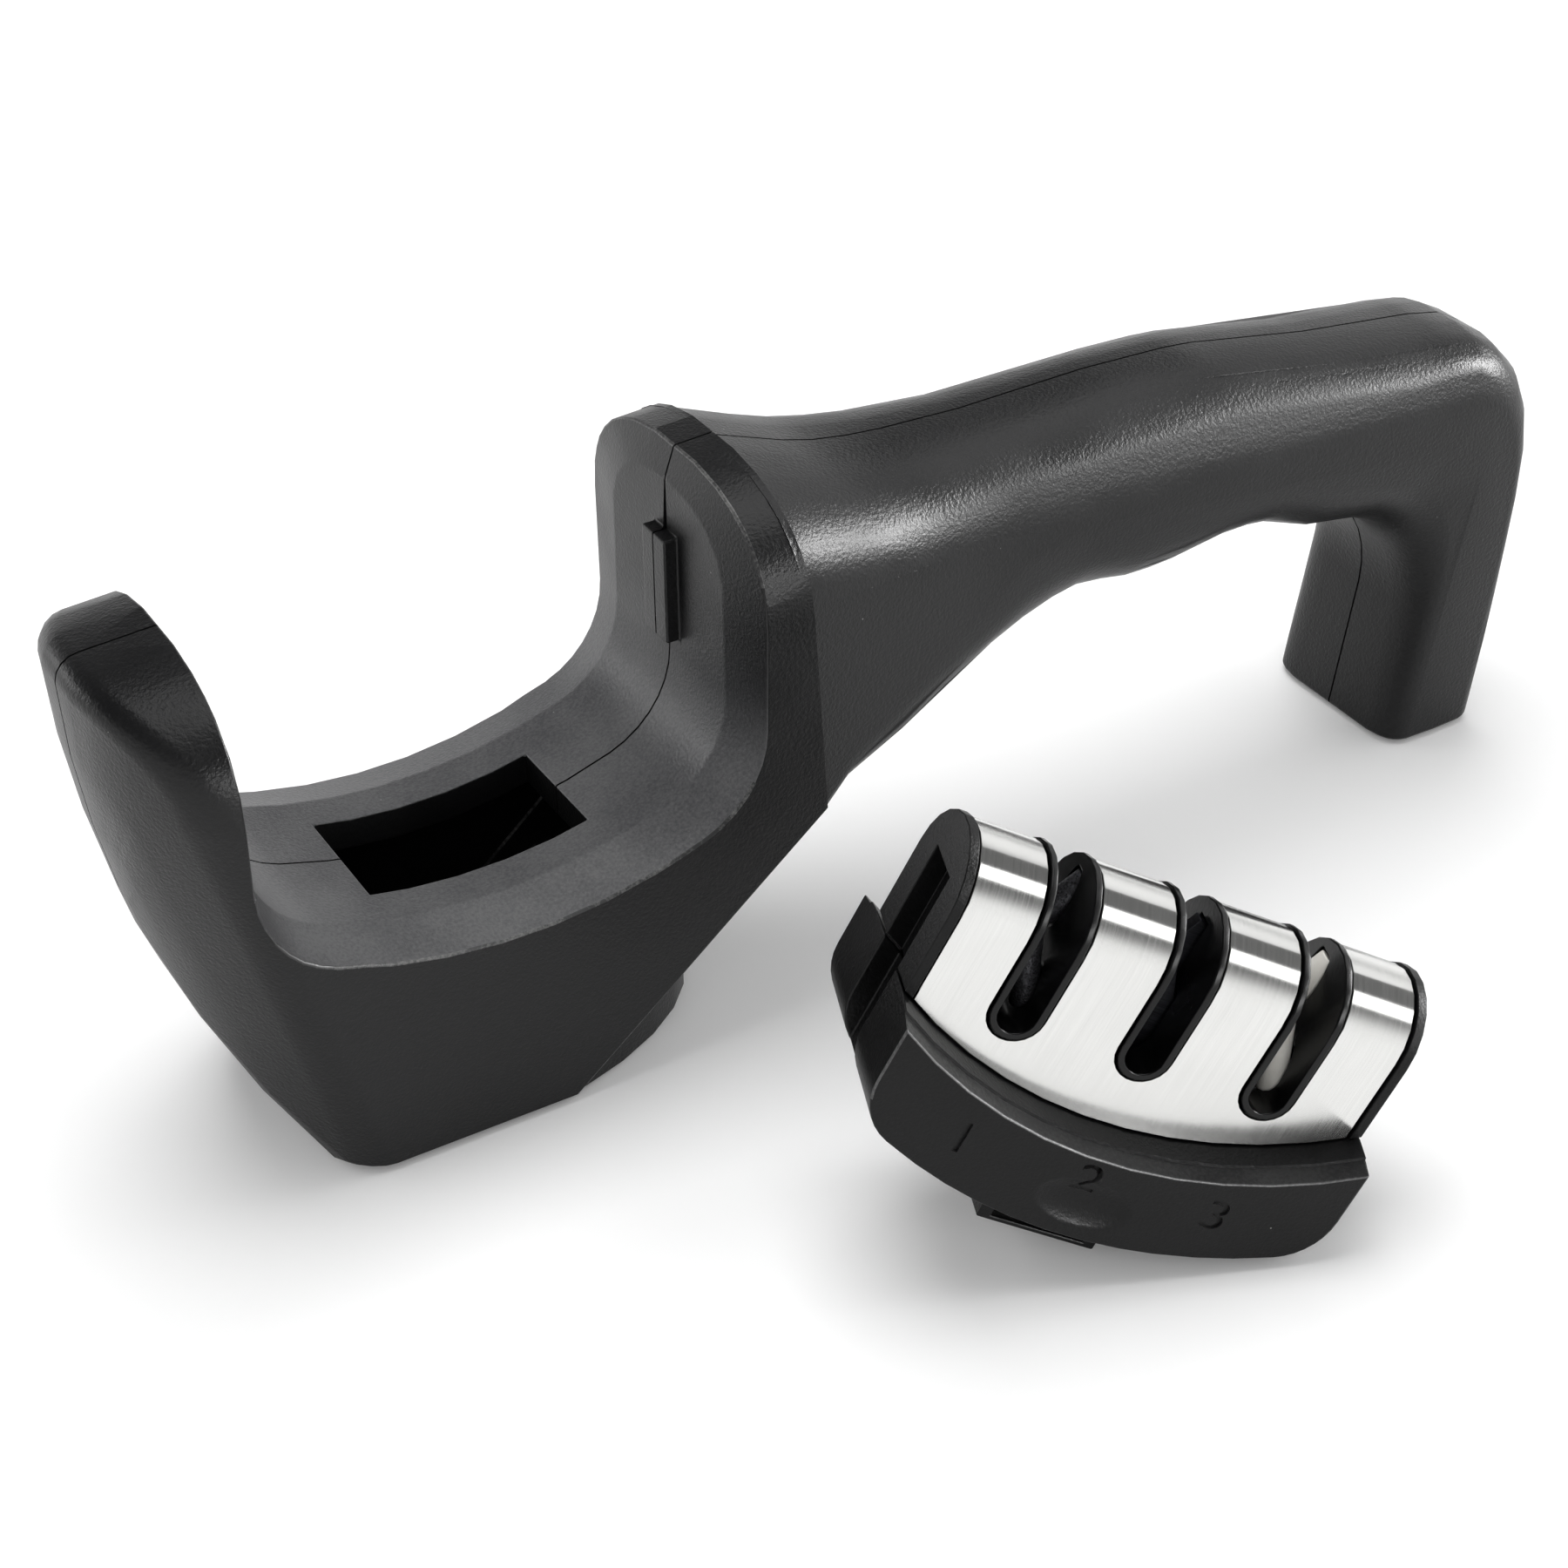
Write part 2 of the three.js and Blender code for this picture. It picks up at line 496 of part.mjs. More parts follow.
// Two hollow halves, parted on the middle plane and located by pegs
const rearPadCentre = (footTop.outer.x + footTop.inner.x) / 2;
const pads = {
  front_pad: padOutline(FRONT_PAD_CENTRE, FRONT_PAD_LENGTH, FRONT_PAD_WIDTH),
  rear_pad: padOutline(rearPadCentre, REAR_PAD_LENGTH, REAR_PAD_WIDTH),
};
const padRecesses = [
  padOutline(FRONT_PAD_CENTRE, FRONT_PAD_LENGTH + 2 * FIT, FRONT_PAD_WIDTH + 2 * FIT),
  padOutline(rearPadCentre, REAR_PAD_LENGTH + 2 * FIT, REAR_PAD_WIDTH + 2 * FIT),
];
const pegPlaces = [
  [BOSS_DIAMETER - toeFront, cavityFloor + BOSS_DIAMETER],
  [columnRear - BOSS_DIAMETER, cavityFloor + BOSS_DIAMETER],
  [collarBack + 2 * BOSS_DIAMETER, (COLLAR_TOP + SEAT_FLOOR) / 2],
  [gripAlong(0.42), GRIP_TOP - GRIP_DEPTH / 2],
  [gripAlong(0.78), GRIP_TOP - GRIP_DEPTH / 2],
  [gripEnd - LEG_DEPTH / 2, cavityFloor + 2 * BOSS_DIAMETER],
];
const pegBars = (diameter, from, to) =>
  joined(pegPlaces.map(([x, z]) => bar(diameter, new Vector3(x, from, z), new Vector3(x, to, z))));

function shells() {
  const outer = frontBlock(0).add(grip(0)).subtract(cradleSpace());
  const thickSeat = [cradleHalf + SEAT_BEVEL_SET_BACK + WALL, SEAT_FLOOR - SEAT_BEVEL_DROP - WALL];
  const lofty = [new Vector2(thickSeat[0], clearOfAll), new Vector2(-thickSeat[0], clearOfAll)];
  const seatRoom = prism("y", [...seatCurve(...thickSeat), ...lofty], clearOfAll);
  const below = block(
    new Vector3(-clearOfAll, -clearOfAll, -clearOfAll),
    new Vector3(clearOfAll, clearOfAll, cavityFloor),
  );
  const bosses = pegBars(BOSS_DIAMETER, -clearOfAll, clearOfAll);
  const cavity = frontBlock(WALL).add(grip(WALL)).subtract(seatRoom).subtract(below).subtract(bosses);
  const window = block(
    new Vector3(-WINDOW_LENGTH / 2, -WINDOW_WIDTH / 2, SEAT_FLOOR / 2),
    new Vector3(WINDOW_LENGTH / 2, WINDOW_WIDTH / 2, SEAT_FLOOR * 2),
  );
  const key = block(
    new Vector3(cradleHalf - KEY_PROUD, -KEY_WIDTH / 2, KEY_FOOT),
    new Vector3(cradleHalf + WALL, KEY_WIDTH / 2, KEY_FOOT + KEY_HEIGHT),
  );
  const recesses = joined(padRecesses.map((outline) => prism("z", outline, 2 * padRecess, sole)));
  const whole = outer.subtract(cavity).subtract(window).subtract(recesses).add(key);
  const half = (side) => {
    const near = new Vector3(-clearOfAll, (SEAM / 2) * side, -clearOfAll);
    const far = new Vector3(2 * clearOfAll, clearOfAll * side, clearOfAll);
    return whole.intersect(block(near.clone().min(far), near.clone().max(far)));
  };
  return {
    near_shell: half(-1).add(pegBars(PEG_DIAMETER, -PEG_LENGTH, PEG_LENGTH)),
    far_shell: half(1).subtract(pegBars(PEG_DIAMETER + 2 * FIT, -PEG_LENGTH, PEG_LENGTH + FIT)),
  };
}

// Sharpening head: arcs of its base and cover, seen from the front
const rimSag = BASE_RIM_END - BASE_RIM_MID;
const rimRadius = (baseHalf ** 2 + rimSag ** 2) / (2 * rimSag);
const shoulderAt = (u) => BASE_RIM_MID + SHOULDER_RISE + sagOf(rimRadius, u);
const undersideAt = (u) => sagOf(BASE_ARC_RADIUS, u);

function baseOutline(rise) {
  const reach = baseHalf - BASE_CORNER;
  const turn = Math.asin(reach / (BASE_ARC_RADIUS - BASE_CORNER));
  const height = BASE_ARC_RADIUS - (BASE_ARC_RADIUS - BASE_CORNER) * Math.cos(turn);
  const down = -Math.PI / 2;
  const rimTurn = Math.asin(baseHalf / rimRadius);
  return [
    ...arc(0, BASE_ARC_RADIUS, BASE_ARC_RADIUS, down - turn, down + turn, BEND_STEPS),
    ...arc(reach, height, BASE_CORNER, down + turn, 0).slice(1),
    ...arc(0, BASE_RIM_MID + rise + rimRadius, rimRadius, down + rimTurn, down - rimTurn, BEND_STEPS),
    ...arc(-reach, height, BASE_CORNER, -Math.PI, down - turn).slice(0, -1),
  ];
}

// Space above an arc of the head, between two ends
function above(heightAt, half) {
  const us = Array.from({ length: BEND_STEPS + 1 }, (_, k) => lerp(-half, half, k / BEND_STEPS));
  const curve = us.map((u) => new Vector2(u, heightAt(u)));
  return prism("y", [...curve, new Vector2(half, clearOfAll), new Vector2(-half, clearOfAll)], clearOfAll);
}

// Inverted U across the head, rounded over the top
function archPrism(half, crown, length, middle = 0) {
  const over = arc(0, crown - half, half, 0, Math.PI, BEND_STEPS);
  return prism("x", [new Vector2(-half, 0), new Vector2(half, 0), ...over], length, middle);
}

function slotPrism(middle, width) {
  const half = width / 2;
  const foot = arc(middle, SLOT_FOOT, half, -Math.PI, 0, BEND_STEPS);
  const top = [new Vector2(middle + half, clearOfAll), new Vector2(middle - half, clearOfAll)];
  return prism("y", [...foot, ...top], clearOfAll);
}

const slotPlaces = [-SLOT_PITCH, 0, SLOT_PITCH];
const slotsWider = (grow) => joined(slotPlaces.map((u) => slotPrism(u, SLOT_WIDTH + grow)));

function crossingEnds(middle, length, lean) {
  const along = new Vector3(Math.sin(CROSSING_TILT) * lean, 0, Math.cos(CROSSING_TILT));
  const half = along.multiplyScalar(length / 2);
  const centre = new Vector3(middle, 0, crossingHeight);
  return [centre.clone().sub(half), centre.clone().add(half)];
}

// One rod of a crossed pair, grown for the bore that holds it
function rod(middle, diameter, side, grow = 0) {
  const shift = new Vector3(0, (side * (diameter + ROD_PARTING)) / 2, 0);
  const [low, high] = crossingEnds(middle, ROD_LENGTH + 2 * grow, side);
  return bar(diameter + 2 * grow, low.add(shift), high.add(shift));
}

function blade(middle, side, grow = 0) {
  const size = [BLADE_WIDTH, BLADE_THICKNESS, BLADE_LENGTH].map((one) => one + 2 * grow);
  const geometry = new THREE.BoxGeometry(...size);
  geometry.rotateY(CROSSING_TILT * side);
  geometry.translate(middle, (side * (BLADE_THICKNESS + ROD_PARTING)) / 2, crossingHeight);
  return solid(geometry);
}

const sharpeners = (grow) => ({
  diamond_rod_near: rod(slotPlaces[0], DIAMOND_DIAMETER, -1, grow),
  diamond_rod_far: rod(slotPlaces[0], DIAMOND_DIAMETER, 1, grow),
  carbide_blade_near: blade(slotPlaces[1], -1, grow),
  carbide_blade_far: blade(slotPlaces[1], 1, grow),
  ceramic_rod_near: rod(slotPlaces[2], CERAMIC_DIAMETER, -1, grow),
  ceramic_rod_far: rod(slotPlaces[2], CERAMIC_DIAMETER, 1, grow),
});
const sharpenerBores = joined(Object.values(sharpeners(FIT)));

// Channel in each end that slides over the cradle's key
function guideChannels() {
  const half = KEY_WIDTH / 2 + KEY_CLEARANCE;
  const side = (sign) => {
    const from = new Vector3(sign * channelFloor, -half, -LATCH_DEPTH);
    const to = new Vector3(sign * (baseHalf + FIT), half, channelTop);
    return block(from.clone().min(to), from.clone().max(to));
  };
  return side(-1).add(side(1));
}

// Base screws: head, then shank, along w
const screwPlaces = { left: -SCREW_OFFSET, right: SCREW_OFFSET };
const screwFoot = undersideAt(SCREW_OFFSET) + FIT;
function screw(u, grow = 0) {
  const at = (w) => new Vector3(u, 0, w);
  const neck = screwFoot + SCREW_HEAD_HEIGHT;
  const shank = bar(SCREW_SHANK + 2 * grow, at(screwFoot), at(neck + SCREW_LENGTH + grow));
  return bar(SCREW_HEAD + 2 * grow, at(screwFoot - (grow && SCREW_LENGTH)), at(neck + grow)).add(shank);
}
const screwHoles = joined(Object.values(screwPlaces).map((u) => screw(u, FIT)));

function headBase() {
  const seat = coverHalf + CAP_PROUD;
  const ledge = baseHalfWidth - BASE_LEDGE;
  const halfRows = [
    [baseHalfWidth, 0],
    [ledge, (SHOULDER_RISE - LEDGE_STEP) / 2],
    [ledge - LEDGE_STEP_RUN, (SHOULDER_RISE + LEDGE_STEP) / 2],
    [seat, SHOULDER_RISE],
  ];
  const rows = [...halfRows.map(([v, rise]) => [-v, rise]), ...halfRows.toReversed()];
  const body = loft(
    rows.map(([, rise]) => baseOutline(rise)),
    (p, k) => new Vector3(p.x, rows[k][0], p.y),
  );
  const pocketWidth = 2 * (frameHalf + FIT);
  const room = block(
    new Vector3(-clearOfAll, -pocketWidth / 2, -clearOfAll),
    new Vector3(clearOfAll, pocketWidth / 2, clearOfAll),
  );
  const pocket = above((u) => undersideAt(u) + BASE_FLOOR, tongueHalf + FIT).intersect(room);
  const cuts = joined([pocket, guideChannels(), screwHoles, fingerHollows()]);
  return body.add(latchFrame()).subtract(cuts);
}

// Finger hollows: the part of a flattened ball that dips into each side of the base
function fingerHollows() {
  const reach = 2 * HOLLOW_DEPTH;
  const widening = 1 / Math.sqrt(1 - (1 - HOLLOW_DEPTH / reach) ** 2);
  const side = (sign) => {
    const ball = new THREE.SphereGeometry(1, 2 * BEND_STEPS, BEND_STEPS);
    ball.scale((widening * HOLLOW_LENGTH) / 2, reach, (widening * HOLLOW_HEIGHT) / 2);
    ball.translate(0, sign * (baseHalfWidth + reach - HOLLOW_DEPTH), HOLLOW_LEVEL);
    return solid(ball);
  };
  return side(-1).add(side(1));
}

// Open rectangular frame under the base, with an opening in each long wall
function latchFrame() {
  const halfWidth = WINDOW_WIDTH / 2 - FIT;
  const halfLength = LATCH_LENGTH / 2;
  const box = (u, v, low, high) => block(new Vector3(-u, -v, low), new Vector3(u, v, high));
  const outside = box(halfLength, halfWidth, -LATCH_DEPTH, BASE_FLOOR / 2);
  const inside = box(halfLength - LATCH_WALL, halfWidth - LATCH_WALL, -2 * LATCH_DEPTH, 0);
  const openings = box(halfLength - LATCH_WALL, clearOfAll, LATCH_BAR - LATCH_DEPTH, -LATCH_BAR / 3);
  return outside.subtract(inside).subtract(openings);
}

// Frame inside the cover: arched blocks between the slots, end caps, and a tongue into the base
function headFrame() {
  const core = archPrism(frameHalf, HEAD_CROWN - COVER_SHEET - FIT, HEAD_LENGTH);
  const capMiddle = headHalf - END_CAP / 2;
  const caps = [-capMiddle, capMiddle].map((u) => {
    return archPrism(coverHalf + CAP_PROUD, HEAD_CROWN + CAP_PROUD, END_CAP, u);
  });
  const upper = core.add(joined(caps)).intersect(above((u) => shoulderAt(u) + FIT, headHalf));
  const tongueTop = block(
    new Vector3(-clearOfAll, -frameHalf, -clearOfAll),
    new Vector3(clearOfAll, frameHalf, BASE_RIM_END + SHOULDER_RISE),
  );
  const tongue = above((u) => undersideAt(u) + BASE_FLOOR + FIT, tongueHalf).intersect(tongueTop);
  const cuts = joined([slotsWider(2 * FIT), sharpenerBores, guideChannels(), screwHoles]);
  return upper.add(tongue).subtract(cuts);
}

// Stainless cover: a bent sheet with the slots cut through it and an arched lower edge
function steelCover() {
  const length = HEAD_LENGTH - 2 * (END_CAP + FIT);
  const outside = archPrism(coverHalf, HEAD_CROWN, length);
  const inside = archPrism(coverHalf - COVER_SHEET, HEAD_CROWN - COVER_SHEET, HEAD_LENGTH);
  const lowerEdge = above((u) => shoulderAt(u) + FIT, headHalf);
  return outside.subtract(inside).intersect(lowerEdge).subtract(slotsWider(2 * FIT));
}

// Slot liner: a round-footed channel whose rim stands over the steel
function slotLiner(middle) {
  const skin = archPrism(coverHalf + LINER_PROUD, HEAD_CROWN + LINER_PROUD, HEAD_LENGTH);
  const channel = slotPrism(middle, SLOT_WIDTH - 2 * LINER_WALL);
  return slotPrism(middle, SLOT_WIDTH).intersect(skin).subtract(channel).subtract(sharpenerBores);
}

// Finishes
const FINISHES = {
  abs: { color: 0x2b2b2c, roughness: 0.55, metalness: 0 },
  darkAbs: { color: 0x1b1b1c, roughness: 0.5, metalness: 0 },
  rubber: { color: 0x161616, roughness: 0.9, metalness: 0 },
  stainless: { color: 0xd8d9da, roughness: 0.3, metalness: 1 },
  diamond: { color: 0x55585c, roughness: 0.6, metalness: 0.8 },
  carbide: { color: 0x3c3d40, roughness: 0.35, metalness: 1 },
  ceramic: { color: 0x34332f, roughness: 0.45, metalness: 0 },
  zinc: { color: 0xa9abad, roughness: 0.35, metalness: 1 },
};

function piece(name, made, finish) {
  const mesh = new THREE.Mesh(geometryOf(made), new THREE.MeshStandardMaterial(FINISHES[finish]));
  mesh.name = name;
  return mesh;
}

const body = new THREE.Group();
for (const [name, made] of Object.entries(shells())) body.add(piece(name, made, "abs"));
for (const [name, outline] of Object.entries(pads))
  body.add(piece(name, prism("z", outline, PAD_THICKNESS, PAD_THICKNESS / 2), "rubber"));

const head = new THREE.Group();
head.add(piece("head_base", headBase(), "darkAbs"));
head.add(piece("head_frame", headFrame(), "darkAbs"));
head.add(piece("steel_cover", steelCover(), "stainless"));
slotPlaces.forEach((u, k) => head.add(piece(`slot_liner_${k + 1}`, slotLiner(u), "darkAbs")));
for (const [name, made] of Object.entries(sharpeners(0))) head.add(piece(name, made, name.split("_")[0]));
for (const [name, u] of Object.entries(screwPlaces)) head.add(piece(`base_screw_${name}`, screw(u), "zinc"));

// The head lies on the lowest point of its base and latch
head.rotation.set(HEAD_LEAN, HEAD_TILT, HEAD_YAW, "ZXY");
head.position.set(HEAD_X, HEAD_Y, 0);
head.position.z = -new THREE.Box3().setFromObject(head, true).min.z;

const sharpener = new THREE.Group();
sharpener.add(body, head);
export default sharpener;
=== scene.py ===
import json
import math

import bpy
from mathutils import Matrix, Vector

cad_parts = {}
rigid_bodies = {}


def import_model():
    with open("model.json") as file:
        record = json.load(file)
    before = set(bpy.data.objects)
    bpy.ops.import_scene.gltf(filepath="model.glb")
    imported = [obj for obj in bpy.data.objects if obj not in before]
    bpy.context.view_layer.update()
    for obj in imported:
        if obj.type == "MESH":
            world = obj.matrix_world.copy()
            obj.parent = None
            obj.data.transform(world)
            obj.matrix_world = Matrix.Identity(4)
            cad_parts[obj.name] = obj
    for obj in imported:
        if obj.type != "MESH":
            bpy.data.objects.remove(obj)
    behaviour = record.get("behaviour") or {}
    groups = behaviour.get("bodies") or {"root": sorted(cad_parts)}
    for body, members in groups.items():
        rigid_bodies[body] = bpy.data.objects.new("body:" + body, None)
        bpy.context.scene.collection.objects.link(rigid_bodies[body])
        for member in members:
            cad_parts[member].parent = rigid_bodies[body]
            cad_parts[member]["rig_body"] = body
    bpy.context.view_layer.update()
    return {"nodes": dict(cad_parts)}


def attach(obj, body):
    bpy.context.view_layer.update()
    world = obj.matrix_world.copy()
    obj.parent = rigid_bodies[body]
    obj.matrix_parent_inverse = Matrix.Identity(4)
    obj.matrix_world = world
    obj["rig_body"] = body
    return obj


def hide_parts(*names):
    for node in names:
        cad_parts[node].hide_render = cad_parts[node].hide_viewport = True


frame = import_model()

MM = 0.001  # the frame is in metres, sizes below are in millimetres where nothing else is said

# Sizes of the CAD solids that the details follow
SEAT_HALF_WIDTH = 14.0  # flat of the cradle, between its bevels
CRADLE_HALF = 32.05  # middle of the cradle to the inner face of an end wall
CRADLE_MIDDLE = 62.0  # height of a point that all of the cradle's surfaces face
CRADLE_LOW = 27.0  # below the lowest of the cradle's rims
RIM_DEPTH = 1.7  # how far the rims' bevel stands back from the end walls
WINDOW_REACH = 20.0  # the cradle's window lies within this of its middle
COLLAR_BACK = 39.0  # rear of the collar at its top, where a small step leads to the grip
STEP_BEFORE = 2.0  # the step starts this far before there
STEP_BEHIND = 4.0  # and ends this far behind
BASE_HALF_WIDTH = 13.7
BASE_LEDGE = 2.6  # strip of the base's shoulder outside its small step
BASE_RIM = 11.3  # level of the base's rim at its lowest
LATCH_DEPTH = 4.4

# Where the cradle's painted light fades, and where edges are rubbed and painted with a highlight
PALE_TO = 37.0  # the cradle is pale up to this height
DARK_FROM = 60.0  # and as dark as the sides from this one
# The rubbed edges are also a painted highlight: their pale flecks stand in for the light that the rounded
# rims catch
COLLAR_RUBBED_AND_LIT = 68.0  # from this height up the collar's inner edge is rubbed
COLLAR_BAND = 3.0  # within this of the cradle's end wall
BASE_BAND_IN = 0.5  # the base's rim is rubbed this far in from its side
BASE_BAND_DOWN = 1.0  # and this far below its lowest level

# How the sharpening head lies
HEAD_LEAN = math.radians(-3.3)
HEAD_TILT = math.radians(26.9)
HEAD_YAW = math.radians(-22.7)

# Slot numbers in the side of the head's base: place along the row, level and depth of each
FIGURES = {"1": (-18.1, 8.6, 0.35), "2": (-1.0, 8.1, 1.0), "3": (16.1, 8.5, 0.35)}  # 2 dips into a hollow
FIGURE_HEIGHT = 4.2
FIGURE_WIDENING = 1.25  # times the font's own width

# How the copies of the CAD solids are dressed
SLIVER = 0.05  # shorter edges are merged away
FLAT = 3.0  # degrees, faces that turn less become one
CREASE = 30  # degrees, least turn of an edge that is rounded
BASE_CREASE = 40  # degrees, the same for the head's base
FAINT_CREASE = 8  # degrees, least turn of the cradle's bevel lines
EDGE_STEPS = 3  # faces across a rounded edge
ON_LINE = 0.03  # points within this of a line lie on it
BY_EDGE = 0.2  # points within this of the seam or a step belong to it

# Parts of a normal that tell which way a face looks
LEVEL = 0.8  # more than this upward
UPRIGHT = 0.3  # less than this upward
SIDEWAYS = 0.9  # no less than this sideways

# Patterns in the finishes; fine ones are drawn several times coarser than real, or they would not show
HANDLED_PATCH = 14.0  # patches that handling leaves on ABS
DUST_SPACING = 2.2  # from speck to speck
WORN_FLECK = 0.5  # worn mould grain, really about 0.1
WORN_FLECK_HEIGHT = 0.03
WORN_STRETCH = 9.0  # length of a more or a less rubbed stretch
HAIRLINE = Vector((0.16, 14.0, 14.0))  # across and along, really under 0.1 across
HAIRLINE_HEIGHT = 0.004
ROLLED_PATCH = 9.0  # unevenness of the rolled sheet
DIAMOND_GRIT = 0.22  # really under 0.1
DIAMOND_GRIT_HEIGHT = 0.05
GRINDING_MARK = Vector((5.0, 5.0, 0.12))  # along and across, really some hundredths across
GRINDING_MARK_HEIGHT = 0.01
KILN_MOTTLE = 1.6
CERAMIC_PORE = 0.3  # really under 0.1
CERAMIC_PORE_HEIGHT = 0.02
RUBBER_STIPPLE = 0.6
RUBBER_STIPPLE_HEIGHT = 0.08
RUBBER_BLOOM = 6.0
ZINC_CRYSTAL = 0.7  # really under 0.1
PAPER_CLOUD = 40.0  # unevenness of the sweep

# Studio, in metres
AIM = Vector((50.0, -20.0, 30.0)) * MM  # point between the grip and the head that the lamps face
STRIP_AWAY = 2.4  # from there to the low lamps
PANEL_AWAY = 2.5  # to those overhead
FILL_AWAY = 2.6  # and to those that fill the shadows from the sides
FLOOR_SIZE = 30
FLOOR_GLOW = 0.09  # share of full white that the floor glows with by the object
GLOW_RISES = 0.8  # from this far out it glows more
GLOW_FULL = 3.0  # and from here it is white, so that the sweep shows no horizon

# Room behind the lamps: bright walls that fade to a dim ceiling
WALL_LIGHT = 1.1
CEILING_LIGHT = 0.16
FADE_FROM = 0.1  # sine of the elevation
FADE_TO = 0.34

# Camera that took the photograph
CAMERA_PLACE = Vector((-121.0, -282.8, 251.2)) * MM
CAMERA_TURN = math.radians(30.98)  # to the right of straight along +Y
CAMERA_DROP = math.radians(34.89)  # below the horizon
CAMERA_ROLL = math.radians(-0.45)
CAMERA_LENS = 68.69
SENSOR = 36.0
NEAREST = 10.0  # nearest that the camera sees


# Working on one object at a time

def only(piece):
    bpy.ops.object.select_all(action="DESELECT")
    piece.select_set(True)
    bpy.context.view_layer.objects.active = piece


def in_edit_mode(piece, work):
    only(piece)
    bpy.ops.object.mode_set(mode="EDIT")
    work()
    bpy.ops.object.mode_set(mode="OBJECT")


def finish_with(piece, kind, **settings):
    only(piece)
    modifier = piece.modifiers.new(kind.lower(), kind)
    for key, value in settings.items():
        setattr(modifier, key, value)
    bpy.ops.object.modifier_apply(modifier=modifier.name)


# Colours and nodes

def srgb(code):
    parts = [int(code[i:i + 2], 16) / 255 for i in (1, 3, 5)]
    linear = [p / 12.92 if p <= 0.04045 else ((p + 0.055) / 1.055) ** 2.4 for p in parts]
    return (*linear, 1.0)


def add_node(tree, kind, inputs=None, **settings):
    node = tree.nodes.new(kind)
    for key, value in settings.items():
        setattr(node, key, value)
    for key, value in (inputs or {}).items():
        if isinstance(value, bpy.types.NodeSocket):
            tree.links.new(value, node.inputs[key])
        else:
            node.inputs[key].default_value = value
    return node


def new_material(name):
    material = bpy.data.materials.new(name)
    material.use_nodes = True
    tree = material.node_tree
    shader = tree.nodes["Principled BSDF"]
    place = add_node(tree, "ShaderNodeTexCoord").outputs["Object"]
    return material, tree, shader, place


def per_metre(millimetres):
    return 1 / (millimetres * MM)


# The head's own frame: along its row of slots, through them and up
head_turn = (Matrix.Rotation(HEAD_YAW, 3, "Z") @ Matrix.Rotation(HEAD_LEAN, 3, "X")
             @ Matrix.Rotation(HEAD_TILT, 3, "Y"))
base_local = [head_turn.transposed() @ v.co for v in frame["nodes"]["head_base"].data.vertices]
base_low = Vector(min(p[axis] for p in base_local) for axis in range(3))
base_high = Vector(max(p[axis] for p in base_local) for axis in range(3))
base_middle = (base_low + base_high) / 2
head_origin = head_turn @ Vector((base_middle.x, base_middle.y, base_low.z + LATCH_DEPTH * MM))
head_place = Matrix.Translation(head_origin) @ head_turn.to_4x4()


# Moulded ABS: spark-eroded mould grain breaks the shine into fine speckle, with some settled dust
def moulded_abs(name, dark, light, roughness, shine, grain_size, grain_height, dust_share, unlit_above=None):
    material, tree, shader, place = new_material(name)
    grain = add_node(tree, "ShaderNodeTexNoise", {
        "Vector": place, "Scale": per_metre(grain_size), "Detail": 2.0, "Roughness": 0.6}).outputs["Fac"]
    cloud = add_node(tree, "ShaderNodeTexNoise", {
        "Vector": place, "Scale": per_metre(HANDLED_PATCH), "Detail": 4.0}).outputs["Fac"]
    both = add_node(tree, "ShaderNodeMath", {0: cloud, 1: grain}, operation="ADD").outputs[0]
    patches = add_node(tree, "ShaderNodeMapRange", {
        "Value": both, "From Min": 0.75, "From Max": 1.25}).outputs["Result"]
    tint = add_node(tree, "ShaderNodeMix", {
        "Factor": patches, "A": srgb(dark), "B": srgb(light)}, data_type="RGBA").outputs["Result"]
    # Painted light: the colour stays as given up to PALE_TO, as if lit from above, and fades to the unlit
    # colour by DARK_FROM
    if unlit_above:
        height = add_node(tree, "ShaderNodeSeparateXYZ", {"Vector": place}).outputs["Z"]
        rise = add_node(tree, "ShaderNodeMapRange", {
            "Value": height, "From Min": PALE_TO * MM, "From Max": DARK_FROM * MM},
            interpolation_type="SMOOTHSTEP").outputs["Result"]
        tint = add_node(tree, "ShaderNodeMix", {
            "Factor": rise, "A": tint, "B": srgb(unlit_above)}, data_type="RGBA").outputs["Result"]
    dust = add_node(tree, "ShaderNodeTexVoronoi", {"Vector": place, "Scale": per_metre(DUST_SPACING)})
    speck = add_node(tree, "ShaderNodeMapRange", {
        "Value": dust.outputs["Distance"], "From Min": 0.06, "From Max": 0.03}).outputs["Result"]
    chosen = add_node(tree, "ShaderNodeMath", {
        0: dust.outputs["Color"], 1: 1 - dust_share}, operation="GREATER_THAN").outputs[0]
    dusted = add_node(tree, "ShaderNodeMath", {0: speck, 1: chosen}, operation="MULTIPLY").outputs[0]
    colour = add_node(tree, "ShaderNodeMix", {
        "Factor": dusted, "A": tint, "B": srgb("#8a8a88")}, data_type="RGBA").outputs["Result"]
    tree.links.new(colour, shader.inputs["Base Color"])
    handled = add_node(tree, "ShaderNodeMapRange", {
        "Value": cloud, "From Min": 0.3, "From Max": 0.7,
        "To Min": roughness - 0.05, "To Max": roughness + 0.05}).outputs["Result"]
    tree.links.new(handled, shader.inputs["Roughness"])
    bump = add_node(tree, "ShaderNodeBump", {
        "Height": grain, "Strength": 1.0, "Distance": grain_height * MM}).outputs["Normal"]
    tree.links.new(bump, shader.inputs["Normal"])
    shader.inputs["Specular IOR Level"].default_value = shine
    return material
